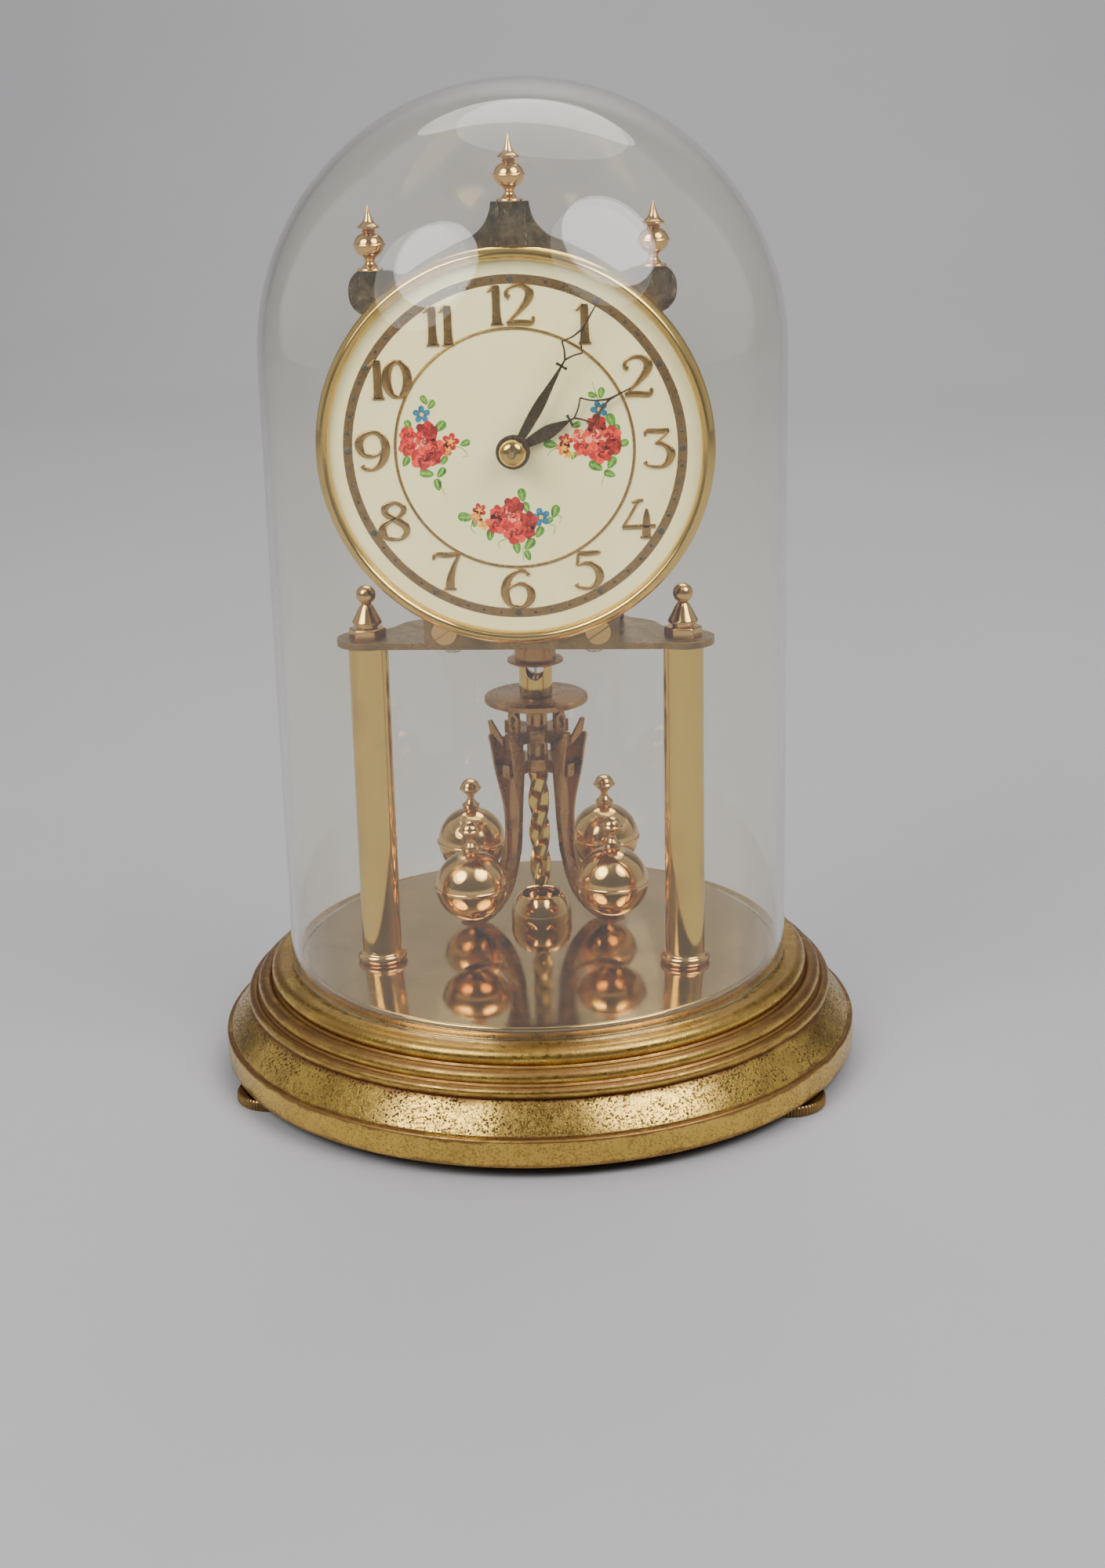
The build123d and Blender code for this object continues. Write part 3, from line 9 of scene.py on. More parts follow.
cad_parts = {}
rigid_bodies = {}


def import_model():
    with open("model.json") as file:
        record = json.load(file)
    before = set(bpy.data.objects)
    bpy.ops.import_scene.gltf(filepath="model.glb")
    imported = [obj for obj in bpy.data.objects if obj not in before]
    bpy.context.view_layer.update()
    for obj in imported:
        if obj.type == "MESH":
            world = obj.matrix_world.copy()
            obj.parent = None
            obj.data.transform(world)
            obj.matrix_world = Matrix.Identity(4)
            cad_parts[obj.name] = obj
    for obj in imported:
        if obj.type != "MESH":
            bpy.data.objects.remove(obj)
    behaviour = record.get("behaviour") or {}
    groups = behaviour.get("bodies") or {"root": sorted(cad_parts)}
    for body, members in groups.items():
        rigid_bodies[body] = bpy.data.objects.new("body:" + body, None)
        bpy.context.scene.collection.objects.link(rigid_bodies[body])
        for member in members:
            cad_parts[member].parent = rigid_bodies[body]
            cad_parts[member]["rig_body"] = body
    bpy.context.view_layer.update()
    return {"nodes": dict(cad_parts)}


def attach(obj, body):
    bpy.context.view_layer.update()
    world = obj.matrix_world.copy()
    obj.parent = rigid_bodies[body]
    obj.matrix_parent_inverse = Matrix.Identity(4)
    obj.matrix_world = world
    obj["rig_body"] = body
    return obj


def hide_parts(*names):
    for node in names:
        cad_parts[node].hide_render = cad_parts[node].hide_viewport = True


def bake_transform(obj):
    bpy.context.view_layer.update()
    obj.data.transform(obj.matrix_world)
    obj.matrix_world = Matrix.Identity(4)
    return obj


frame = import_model()
MM = 0.001

# places in millimetres, as in the frame: X to the right, Y away from the viewer, Z up
DIAL_Z = 192.4              # height of the dial's centre
FACE = -34.3                # front of the dial
PEND = (0.0, 15.0)          # the pendulum's axis, behind the movement
PILLARS = ((-45.8, -18.6), (45.8, -18.6))
FEET = (("right", 330, 88.5), ("left", 210, 88.5), ("back", 90, 86.2))  # name, bearing, reach
PLINTH_Z = 35.0             # top of the polished plate
WELD = 0.0004               # vertices nearer than this are one

# ------------------------------------------------------------------ materials


class Net:
    """One material being wired: a Principled shader and helpers for the nodes that feed it."""

    def __init__(self, name):
        self.mat = bpy.data.materials.new(name)
        self.mat.use_nodes = True
        self.tree = self.mat.node_tree
        self.bsdf = self.tree.nodes["Principled BSDF"]
        self.out = self.tree.nodes["Material Output"]
        coords = self.tree.nodes.new("ShaderNodeTexCoord")
        self.place = coords.outputs["Object"]

    def node(self, kind, **values):
        n = self.tree.nodes.new("ShaderNode" + kind)
        for key, value in values.items():
            setattr(n, key, value)
        return n

    def feed(self, socket, value):
        if isinstance(value, bpy.types.NodeSocket):
            self.tree.links.new(value, socket)
        else:
            socket.default_value = value

    def stretched(self, sx, sy, sz):
        m = self.node("Mapping")
        self.feed(m.inputs["Vector"], self.place)
        m.inputs["Scale"].default_value = (sx, sy, sz)
        return m.outputs["Vector"]

    def noise(self, scale, detail=4.0, rough=0.6, twist=0.0, vector=None):
        n = self.node("TexNoise")
        self.feed(n.inputs["Vector"], vector or self.place)
        n.inputs["Scale"].default_value = scale
        n.inputs["Detail"].default_value = detail
        n.inputs["Roughness"].default_value = rough
        n.inputs["Distortion"].default_value = twist
        return n.outputs["Fac"]

    def spots(self, scale, vector=None):
        n = self.node("TexVoronoi")
        self.feed(n.inputs["Vector"], vector or self.place)
        n.inputs["Scale"].default_value = scale
        return n.outputs["Distance"]

    def curve(self, value, low, high, to_low=0.0, to_high=1.0):
        n = self.node("MapRange", interpolation_type="SMOOTHSTEP")
        self.feed(n.inputs["Value"], value)
        n.inputs["From Min"].default_value = low
        n.inputs["From Max"].default_value = high
        n.inputs["To Min"].default_value = to_low
        n.inputs["To Max"].default_value = to_high
        return n.outputs["Result"]

    def calc(self, kind, a, b=0.0):
        n = self.node("Math", operation=kind)
        self.feed(n.inputs[0], a)
        self.feed(n.inputs[1], b)
        return n.outputs[0]

    def blend(self, share, a, b, kind="MIX"):
        n = self.node("Mix", data_type="RGBA", blend_type=kind)
        self.feed(n.inputs["Factor"], share)
        self.feed(n.inputs["A"], a if isinstance(a, bpy.types.NodeSocket) else (*a, 1.0))
        self.feed(n.inputs["B"], b if isinstance(b, bpy.types.NodeSocket) else (*b, 1.0))
        return n.outputs["Result"]

    def axis(self, which):
        n = self.node("SeparateXYZ")
        self.feed(n.inputs[0], self.place)
        return n.outputs[which]

    def relief(self, height, strength, distance):
        n = self.node("Bump")
        n.inputs["Strength"].default_value = strength
        n.inputs["Distance"].default_value = distance
        self.feed(n.inputs["Height"], height)
        self.feed(self.bsdf.inputs["Normal"], n.outputs["Normal"])

    def finish(self, colour, rough, metallic=0.0, **sockets):
        self.feed(self.bsdf.inputs["Base Color"], colour)
        self.feed(self.bsdf.inputs["Roughness"], rough)
        self.bsdf.inputs["Metallic"].default_value = metallic
        for key, value in sockets.items():
            self.bsdf.inputs[key.replace("_", " ")].default_value = value
        return self.mat


def metal(name, tint, stain, rough, cover, scale, speck, grain=(1, 1, 1), depth=0.02):
    """Worn metal: clouded tarnish, dark specks, fine marks along the grain, uneven gloss."""
    net = Net(name)
    cloud = net.noise(scale, 6.0, 0.65, 0.4)
    patch = net.curve(cloud, 0.62 - cover * 0.4, 0.82 - cover * 0.3)
    dots = net.curve(net.spots(900.0), 0.16, 0.05)
    rare = net.curve(net.noise(260.0, 3.0), 0.52, 0.66)
    specks = net.calc("MULTIPLY", net.calc("MULTIPLY", dots, rare), speck)
    deeper = tuple(c * k for c, k in zip(tint, (0.93, 0.88, 0.82)))
    warm = net.blend(net.noise(28.0, 2.0), tint, deeper)
    colour = net.blend(net.calc("MULTIPLY", patch, 0.75), warm, stain)
    colour = net.blend(specks, colour, tuple(c * 0.35 for c in stain))
    marks = net.noise(1500.0, 2.0, 0.5, 0.0, net.stretched(*grain))
    gloss = net.curve(cloud, 0.3, 0.75, rough[0], rough[1])
    gloss = net.calc("ADD", gloss, net.calc("MULTIPLY", patch, 0.12))
    gloss = net.calc("ADD", gloss, net.curve(marks, 0.4, 0.7, -0.02, 0.03))
    height = net.calc("SUBTRACT", net.calc("MULTIPLY", marks, 0.25), specks)
    net.relief(height, 0.35, depth * MM)
    return net.finish(colour, gloss, 1.0)


def turned_base():
    """Spun brass with brown patina in the steps, black pitting on the slope and a cleaner rim."""
    net = Net("aged_spun_brass")
    z = net.axis("Z")
    cloud = net.noise(55.0, 7.0, 0.65, 0.8)
    fine = net.noise(420.0, 5.0, 0.7)
    wander = net.calc("MULTIPLY", net.calc("SUBTRACT", net.noise(90.0, 4.0), 0.5), 0.0035)
    level = net.calc("ADD", z, wander)
    colour = net.blend(net.noise(22.0, 3.0), (0.82, 0.55, 0.12), (0.68, 0.43, 0.095))
    bands = []
    for middle, half, strength in ((0.0118, 0.0007, 0.8), (0.0210, 0.0013, 0.95), (0.0240, 0.0009, 0.8),
                                   (0.0273, 0.0010, 0.8), (0.0318, 0.0006, 0.5), (0.0040, 0.0008, 0.7)):
        gap = net.calc("ABSOLUTE", net.calc("SUBTRACT", level, middle))
        bands.append(net.calc("MULTIPLY", net.curve(gap, half * 1.5, half * 0.3), strength))
    bands.append(net.calc("MULTIPLY", net.curve(z, 0.019, 0.023), net.curve(cloud, 0.42, 0.60, 0.0, 0.42)))
    brown = bands[0]
    for band in bands[1:]:
        brown = net.calc("MAXIMUM", brown, band)
    colour = net.blend(brown, colour, (0.26, 0.12, 0.055))
    slope = net.calc("MULTIPLY", net.curve(z, 0.0110, 0.0135), net.curve(z, 0.0225, 0.0195))
    rim = net.calc("MULTIPLY", net.curve(z, 0.0118, 0.0108), 0.45)
    zone = net.calc("MAXIMUM", slope, rim)
    zone = net.calc("MAXIMUM", zone, 0.22)
    clumps = net.curve(net.noise(70.0, 7.0, 0.8), 0.34, 0.54)
    pits = net.curve(net.spots(760.0, net.stretched(1, 1, 1.2)), 0.34, 0.22)
    small = net.curve(net.noise(1500.0, 3.0, 0.7), 0.53, 0.60)
    dirt = net.calc("MAXIMUM", net.calc("MULTIPLY", pits, clumps), net.calc("MULTIPLY", small, clumps))
    dirt = net.calc("MULTIPLY", dirt, zone)
    haze = net.calc("MULTIPLY", net.calc("MULTIPLY", net.curve(cloud, 0.40, 0.62), zone), 0.5)
    colour = net.blend(haze, colour, (0.30, 0.18, 0.06))
    colour = net.blend(net.calc("MULTIPLY", dirt, 0.92), colour, (0.055, 0.032, 0.016))
    gloss = net.calc("ADD", net.curve(fine, 0.35, 0.7, 0.17, 0.33), net.calc("MULTIPLY", brown, 0.2))
    gloss = net.calc("ADD", gloss, net.calc("MULTIPLY", dirt, 0.3))
    net.relief(net.calc("SUBTRACT", net.calc("MULTIPLY", fine, 0.4), dirt), 0.6, 0.08 * MM)
    return net.finish(colour, gloss, 1.0)


def mirror_plate():
    """Polished base plate: warm mirror with faint haze, dust and wipe marks."""
    net = Net("polished_plate_brass")
    cloud = net.noise(32.0, 6.0, 0.6, 1.2)
    wipes = net.noise(60.0, 5.0, 0.6, 2.0, net.stretched(1.0, 3.5, 1.0))
    motes = net.curve(net.spots(700.0), 0.12, 0.03)
    dust = net.calc("MULTIPLY", motes, net.curve(net.noise(90.0, 3.0), 0.5, 0.7))
    colour = net.blend(net.curve(cloud, 0.35, 0.7), (0.62, 0.43, 0.17), (0.50, 0.34, 0.13))
    colour = net.blend(net.calc("MULTIPLY", dust, 0.5), colour, (0.30, 0.22, 0.14))
    gloss = net.calc("ADD", net.curve(cloud, 0.3, 0.75, 0.06, 0.13), net.curve(wipes, 0.5, 0.75, 0.0, 0.10))
    net.relief(net.calc("ADD", net.calc("MULTIPLY", cloud, 0.5), dust), 0.08, 0.05 * MM)
    return net.finish(colour, gloss, 1.0)


def tarnished():
    """Crown plate: grey-brown tarnish with brighter worn scratches."""
    net = Net("tarnished_brass")
    cloud = net.noise(150.0, 8.0, 0.75, 0.5)
    hatch = net.noise(700.0, 4.0, 0.7, 0.3, net.stretched(1.0, 1.0, 0.35))
    colour = net.blend(net.curve(cloud, 0.38, 0.66), (0.075, 0.055, 0.035), (0.20, 0.155, 0.095))
    colour = net.blend(net.curve(hatch, 0.56, 0.70, 0.0, 0.6), colour, (0.46, 0.36, 0.20))
    gloss = net.curve(cloud, 0.3, 0.7, 0.30, 0.50)
    net.relief(net.calc("ADD", cloud, hatch), 0.3, 0.04 * MM)
    return net.finish(colour, gloss, 1.0)


def enamel(name, light, dark, rough=0.32, scale=90.0, amount=0.5, coat=0.15):
    """Paint with soft mottling under a thin varnish."""
    net = Net(name)
    cloud = net.noise(scale, 5.0, 0.6, 0.5)
    fine = net.noise(1400.0, 3.0)
    colour = net.blend(net.curve(cloud, 0.35, 0.72, 0.0, amount), light, dark)
    net.relief(fine, 0.15, 0.01 * MM)
    return net.finish(colour, net.curve(fine, 0.3, 0.7, rough, rough + 0.1), 0.0, Coat_Weight=coat)


def brushwork(name, dark, mid, light):
    """Hand-laid transfer paint: streaks of three strengths of one colour."""
    net = Net(name)
    streak = net.noise(900.0, 4.0, 0.65, 1.5, net.stretched(1.0, 1.0, 0.6))
    colour = net.blend(net.curve(streak, 0.36, 0.52), dark, mid)
    colour = net.blend(net.curve(streak, 0.56, 0.70), colour, light)
    net.relief(streak, 0.1, 0.01 * MM)
    return net.finish(colour, net.curve(streak, 0.3, 0.7, 0.45, 0.6), 0.0, Specular_IOR_Level=0.25)


def blown_glass():
    """Clear blown glass with a faint yellow tint and a light dusty haze; lamps shine through it."""
    net = Net("dome_glass")
    streak = net.noise(26.0, 3.0, 0.5, 0.8, net.stretched(1.0, 1.0, 0.35))
    smear = net.noise(120.0, 5.0, 0.7, 1.0)
    colour = net.blend(net.curve(streak, 0.3, 0.7), (0.97, 0.965, 0.92), (0.95, 0.94, 0.87))
    net.relief(streak, 0.05, 0.3 * MM)
    net.finish(colour, net.curve(smear, 0.45, 0.8, 0.0, 0.035), 0.0)
    net.bsdf.inputs["Transmission Weight"].default_value = 0.988
    net.bsdf.inputs["IOR"].default_value = 1.45
    clear = net.node("BsdfTransparent")
    clear.inputs["Color"].default_value = (0.97, 0.97, 0.94, 1.0)
    path = net.node("LightPath")
    mix = net.node("MixShader")
    net.feed(mix.inputs["Fac"], path.outputs["Is Shadow Ray"])
    net.tree.links.new(net.bsdf.outputs[0], mix.inputs[1])
    net.tree.links.new(clear.outputs[0], mix.inputs[2])
    net.tree.links.new(mix.outputs[0], net.out.inputs["Surface"])
    return net.mat


ROUND = (1.0, 1.0, 6.0)             # grain that runs round a turned piece
M = {
    "aged": turned_base(),
    "plate": mirror_plate(),
    "rose": metal("rose_brass", (0.78, 0.50, 0.17), (0.50, 0.29, 0.09), (0.08, 0.17), 0.25, 60, 0.2, ROUND),
    "copper": metal("copper_brass", (0.44, 0.23, 0.075), (0.22, 0.11, 0.04), (0.18, 0.30), 0.45, 120, 0.5,
                    ROUND, 0.03),
    "yellow": metal("yellow_brass", (0.78, 0.55, 0.13), (0.44, 0.29, 0.07), (0.08, 0.15), 0.30, 55, 0.3,
                    (4.0, 4.0, 0.5), 0.02),
    "wheel": metal("wheel_brass", (0.74, 0.53, 0.19), (0.48, 0.33, 0.12), (0.18, 0.30), 0.3, 90, 0.2),
    "dull": metal("dull_brass", (0.34, 0.22, 0.085), (0.17, 0.11, 0.045), (0.24, 0.38), 0.5, 80, 0.5,
                  (0.6, 3.0, 3.0)),
    "tarnish": tarnished(),
    "gold": metal("gilt_relief", (0.56, 0.36, 0.11), (0.25, 0.15, 0.05), (0.16, 0.28), 0.4, 200, 0.4),
    "track": metal("gilt_track", (0.42, 0.27, 0.10), (0.19, 0.12, 0.05), (0.26, 0.40), 0.45, 160, 0.4),
    "steel": metal("bright_steel", (0.60, 0.60, 0.60), (0.30, 0.28, 0.26), (0.18, 0.32), 0.3, 120, 0.4),
    "blued": metal("dark_bronze", (0.145, 0.105, 0.055), (0.06, 0.045, 0.03), (0.22, 0.36), 0.4, 180, 0.2),
    "cream": enamel("dial_cream", (0.86, 0.80, 0.46), (0.82, 0.72, 0.37), 0.30, 45.0, 0.7, 0.25),
    "dot": enamel("dial_dot", (0.035, 0.03, 0.025), (0.08, 0.06, 0.05)),
    "glass": blown_glass(),
    "red": brushwork("rose_red", (0.26, 0.002, 0.001), (0.50, 0.006, 0.003), (0.80, 0.05, 0.015)),
    "deep": brushwork("rose_deep", (0.09, 0.001, 0.001), (0.22, 0.003, 0.002), (0.42, 0.008, 0.004)),
    "coral": brushwork("rose_coral", (0.60, 0.015, 0.005), (0.78, 0.05, 0.02), (0.90, 0.18, 0.09)),
    "blush": brushwork("rose_blush", (0.85, 0.18, 0.09), (0.90, 0.36, 0.23), (0.94, 0.62, 0.45)),
    "orange": brushwork("petal_orange", (0.85, 0.08, 0.004), (0.90, 0.22, 0.01), (0.93, 0.42, 0.03)),
    "sun": brushwork("petal_yellow", (0.85, 0.32, 0.01), (0.90, 0.50, 0.03), (0.93, 0.70, 0.10)),
    "blue": brushwork("petal_blue", (0.005, 0.08, 0.17), (0.012, 0.16, 0.30), (0.06, 0.30, 0.42)),
    "leaf": brushwork("leaf_green", (0.02, 0.10, 0.005), (0.07, 0.26, 0.015), (0.25, 0.48, 0.06)),
    "sprig": brushwork("sprig_green", (0.11, 0.30, 0.02), (0.24, 0.45, 0.05), (0.42, 0.60, 0.12)),
}

# ------------------------------------------------------------------ mesh helpers


def put(bm, name, body, mat, nodes=(), sharp=32.0):
    """Turn a bmesh (in millimetres) into a smooth-shaded piece that rides on a body."""
    bmesh.ops.remove_doubles(bm, verts=bm.verts, dist=WELD)
    bmesh.ops.recalc_face_normals(bm, faces=bm.faces)
    bmesh.ops.scale(bm, verts=bm.verts, vec=(MM, MM, MM))
    mesh = bpy.data.meshes.new(name)
    bm.to_mesh(mesh)
    bm.free()
    mesh.shade_smooth()
    mesh.set_sharp_from_angle(angle=radians(sharp))
    mesh.materials.append(mat)
    piece = bpy.data.objects.new(name, mesh)
    bpy.context.scene.collection.objects.link(piece)
    if body:
        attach(piece, body)
    if nodes:
        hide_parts(*nodes)
    return piece


def arc(a, m, b, steps=8):
    """Points from a to b along the circle through a, m and b, without a itself."""
    (ax, az), (mx, mz), (bx, bz) = a, m, b
    d = 2 * (ax * (mz - bz) + mx * (bz - az) + bx * (az - mz))
    a2, m2, b2 = ax * ax + az * az, mx * mx + mz * mz, bx * bx + bz * bz
    cx = (a2 * (mz - bz) + m2 * (bz - az) + b2 * (az - mz)) / d
    cz = (a2 * (bx - mx) + m2 * (ax - bx) + b2 * (mx - ax)) / d
    r = sqrt((ax - cx) ** 2 + (az - cz) ** 2)
    t0, tm, t1 = (atan2(z - cz, x - cx) for x, z in (a, m, b))
    span, part = (t1 - t0) % (2 * pi), (tm - t0) % (2 * pi)
    if part > span:
        span -= 2 * pi
    turns = [t0 + span * i / steps for i in range(1, steps + 1)]
    return [(cx + r * cos(t), cz + r * sin(t)) for t in turns]


def swept(r, z, degrees):
    """Points on the circle of radius r about (0, z) at these angles above the level."""
    return [(r * cos(radians(t)), z + r * sin(radians(t))) for t in degrees]


def smooth(points, steps=6):
    """Catmull-Rom curve through points of any dimension."""
    out = []
    for i in range(len(points) - 1):
        p0 = points[max(i - 1, 0)]
        p1, p2 = points[i], points[i + 1]
        p3 = points[min(i + 2, len(points) - 1)]
        for s in range(steps):
            t = s / steps
            out.append(tuple(
                0.5 * (2 * b + (c - a) * t + (2 * a - 5 * b + 4 * c - d) * t * t
                       + (3 * b - a - 3 * c + d) * t ** 3)
                for a, b, c, d in zip(p0, p1, p2, p3)))
    out.append(tuple(points[-1]))
    return out


LONG_RUN = 2.5              # straight runs longer than this keep their flats
BESIDE = 0.2                # the extra points stand this far from the corner
CORNER = 0.98               # cosine of the least turn that counts as a corner


def held(profile):
    """The same profile with extra points beside the corners of long runs, so that they shade flat."""
    heading = [atan2(z1 - z0, r1 - r0) for (r0, z0), (r1, z1) in zip(profile, profile[1:])]
    out = [profile[0]]
    for i, ((r0, z0), (r1, z1)) in enumerate(zip(profile, profile[1:])):
        length = sqrt((r1 - r0) ** 2 + (z1 - z0) ** 2)
        before = cos(heading[i] - heading[max(i - 1, 0)])
        after = cos(heading[i] - heading[min(i + 1, len(heading) - 1)])
        if length > LONG_RUN and before < CORNER:
            out.append((r0 + (r1 - r0) * BESIDE / length, z0 + (z1 - z0) * BESIDE / length))
        if length > LONG_RUN and after < CORNER:
            out.append((r1 - (r1 - r0) * BESIDE / length, z1 - (z1 - z0) * BESIDE / length))
        out.append((r1, z1))
    return out


def spin(bm, profile, centre=(0.0, 0.0), steps=64, closed=False):
    """Revolve (radius, height) points about a vertical axis through centre."""
    rings = []
    for r, z in held(profile):
        if r < 1e-6:
            rings.append([bm.verts.new((centre[0], centre[1], z))])
            continue
        rings.append([bm.verts.new((centre[0] + r * cos(2 * pi * i / steps),
                                    centre[1] + r * sin(2 * pi * i / steps), z)) for i in range(steps)])
    pairs = list(zip(rings, rings[1:]))
    if closed:
        pairs.append((rings[-1], rings[0]))
    for low, high in pairs:
        for i in range(steps):
            j = (i + 1) % steps
            quad = [low[i % len(low)], low[j % len(low)], high[j % len(high)], high[i % len(high)]]
            corners = list(dict.fromkeys(quad))
            if len(corners) > 2:
                bm.faces.new(corners)
    return bm


def spin_forward(bm, profile, centre=(0.0, DIAL_Z), steps=128, closed=False):
    """Revolve (radius, y) points about the dial's axis."""
    temp = spin(bmesh.new(), profile, (0.0, 0.0), steps, closed)
    verts = {}
    for v in temp.verts:
        verts[v] = bm.verts.new((centre[0] + v.co.x, v.co.z, centre[1] + v.co.y))
    for f in temp.faces:
        bm.faces.new([verts[v] for v in f.verts])
    temp.free()
    return bm


def lathe(name, body, mat, nodes, profile, centres=((0.0, 0.0),), steps=64, closed=False,
          sharp=32.0):
    """One piece turned from a profile, repeated at every centre."""
    bm = bmesh.new()
    for centre in centres:
        spin(bm, profile, centre, steps, closed)
    return put(bm, name, body, mat, nodes, sharp)


def skin(bm, rows):
    """Join each closed row of vertices to the next with quads."""
    for low, high in zip(rows, rows[1:]):
        for i in range(len(low)):
            j = (i + 1) % len(low)
            bm.faces.new((low[i], low[j], high[j], high[i]))


def cap(bm, rows):
    """Close both ends of a skin."""
    bm.faces.new(rows[0][::-1])
    bm.faces.new(rows[-1])


def ribbon(bm, points, y, height, back=0.0, at=lambda u, v: (u, v), rounded=True):
    """Raised stroke on a plane facing the viewer: points are (x, z, width), y is the face it stands on."""
    rows = []
    n = len(points)
    for i, (x, z, w) in enumerate(points):
        ax, az, _ = points[max(i - 1, 0)]
        bx, bz, _ = points[min(i + 1, n - 1)]
        length = sqrt((bx - ax) ** 2 + (bz - az) ** 2) or 1.0
        nx, nz = -(bz - az) / length, (bx - ax) / length
        edge = w / 2
        inset = min(0.28, w * 0.3) if rounded else min(0.06, w * 0.2)
        row = []
        for offset, rise in ((-edge, 0.0), (-edge + inset * 0.25, height * 0.62), (-edge + inset, height),
                             (edge - inset, height), (edge - inset * 0.25, height * 0.62), (edge, 0.0),
                             (edge, -back), (-edge, -back)):
            px, pz = at(x + nx * offset, z + nz * offset)
            row.append(bm.verts.new((px, y - rise, pz)))
        rows.append(row)
    skin(bm, rows)
    bm.faces.new(rows[0])
    bm.faces.new(rows[-1][::-1])


def refine(nodes, mat, bevel=0.12, sharp=30.0):
    """Finish CAD nodes' own shapes: clean their facets, ease their edges and shade them smoothly."""
    for node in nodes:
        source = frame["nodes"][node]
        bm = bmesh.new()
        bm.from_mesh(source.data)
        bmesh.ops.scale(bm, verts=bm.verts, vec=(1 / MM, 1 / MM, 1 / MM))
        bmesh.ops.remove_doubles(bm, verts=bm.verts, dist=2 * WELD)
        bmesh.ops.dissolve_limit(bm, angle_limit=radians(1.0), verts=bm.verts, edges=bm.edges)
        piece = put(bm, node + "_shape", source["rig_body"], mat, (node,), sharp)
        if bevel:
            mod = piece.modifiers.new("eased_edges", "BEVEL")
            mod.width = bevel * MM
            mod.segments = 2
            mod.limit_method = "ANGLE"
            mod.angle_limit = radians(sharp)
            mod.harden_normals = False
            mod.use_clamp_overlap = True


# ------------------------------------------------------------------ base
outline = [(0.0, 32.2), (78.6, 32.2)]
outline += arc((78.6, 32.2), (81.9, 31.0), (82.1, 27.8), 12)
outline += [(82.6, 27.2)]
outline += arc((82.6, 27.2), (86.2, 26.9), (86.7, 24.3), 12)
outline += [(87.2, 23.8)]
outline += arc((87.2, 23.8), (89.8, 22.8), (88.6, 20.6), 12)
outline += smooth([(88.6, 20.6), (91.4, 17.6), (94.2, 14.3), (95.6, 12.5)], 6)[1:]
outline += [(95.7, 12.1), (96.0, 12.05)]
outline += arc((96.0, 12.05), (96.9, 11.8), (97.15, 11.0), 5)
outline += [(97.2, 4.4)]
outline += arc((97.2, 4.4), (97.0, 3.9), (96.6, 3.7), 4)
outline += [(96.0, 3.8), (96.0, 10.8), (92.4, 14.6), (87.0, 20.0), (85.2, 23.2), (81.2, 26.0), (78.6, 31.0),
            (0.0, 31.0)]
lathe("spun_base", "frame", M["aged"], ("base_shell",), outline, steps=256, sharp=50.0)

LUG_SIZE = (17.0, 14.0, 4.0)
LUG_Z = 8.0
LUG_INSET = 1.5             # a lug's middle stands this far inside its foot's axis
bm = bmesh.new()
for _, angle, pitch in FEET:
    a = radians(angle)
    reach = pitch - LUG_INSET
    made = bmesh.ops.create_cube(bm, size=1.0)["verts"]
    bmesh.ops.scale(bm, verts=made, vec=LUG_SIZE)
    bmesh.ops.rotate(bm, verts=made, matrix=Matrix.Rotation(a, 3, "Z"))
    bmesh.ops.translate(bm, verts=made, vec=(reach * cos(a), reach * sin(a), LUG_Z))
lugs = put(bm, "foot_lugs", "frame", M["dull"])
lug_bevel = lugs.modifiers.new("eased_edges", "BEVEL")
lug_bevel.width = 0.8 * MM
lug_bevel.segments = 3

plate = [(0.0, PLINTH_Z), (70.5, PLINTH_Z)] + arc((70.5, PLINTH_Z), (71.15, 34.75), (71.4, 34.1), 5)
plate += [(71.4, 32.2), (0.0, 32.2)]
lathe("mirror_plate", "frame", M["plate"], ("base_plate",), plate, steps=192)

FOOT_RIDGES = 66
KNURL = 0.35
# height, radius and depth of the grooves, from the underside up to the screw's tip
FOOT_ROWS = ((0.0, 9.9, 0.0), (0.0, 10.3, 0.0), (0.45, 10.9, KNURL), (2.75, 10.9, KNURL), (3.2, 10.4, 0.0),
             (3.2, 2.6, 0.0), (3.6, 2.4, 0.0), (14.2, 2.4, 0.0))
for side, angle, pitch in FEET:
    a = radians(angle)
    cx, cy = pitch * cos(a), pitch * sin(a)
    bm = bmesh.new()
    rows = []
    for z, r, cut in FOOT_ROWS:
        ring = []
        for i in range(FOOT_RIDGES * 2):
            t = pi * i / FOOT_RIDGES
            reach = r - (cut if i % 2 else 0.0)
            ring.append(bm.verts.new((cx + reach * cos(t), cy + reach * sin(t), z)))
        rows.append(ring)
    skin(bm, rows)
    cap(bm, rows)
    put(bm, "knurled_foot_" + side, "foot_" + side, M["dull"], ("levelling_foot_" + side,))

# ------------------------------------------------------------------ dome
DOME_R, DOME_INNER_R = 76.0, 74.0
LIP_Z = 32.8                # where the walls end and the rounded lip begins
SPRING_Z = 215.0            # where the straight wall becomes a half sphere


def bell(r):
    """One face of the dome from the lip up to the crown."""
    points = [(r, z) for z in (LIP_Z, 33.1, 60.0, 120.0, 180.0, SPRING_Z)]
    points += [(r * cos(pi / 2 * i / 32), SPRING_Z + r * sin(pi / 2 * i / 32)) for i in range(1, 32)]
    return points + [(0.0, SPRING_Z + r)]


wall = bell(DOME_R)
inner = bell(DOME_INNER_R)[::-1]
lip = arc((DOME_INNER_R, LIP_Z), (75.0, 32.2), (DOME_R, LIP_Z), 6)
dome = bmesh.new()
spin(dome, wall, steps=160)
spin(dome, inner + lip, steps=160)
put(dome, "blown_dome", "dome", M["glass"], ("glass_dome",), 40.0)

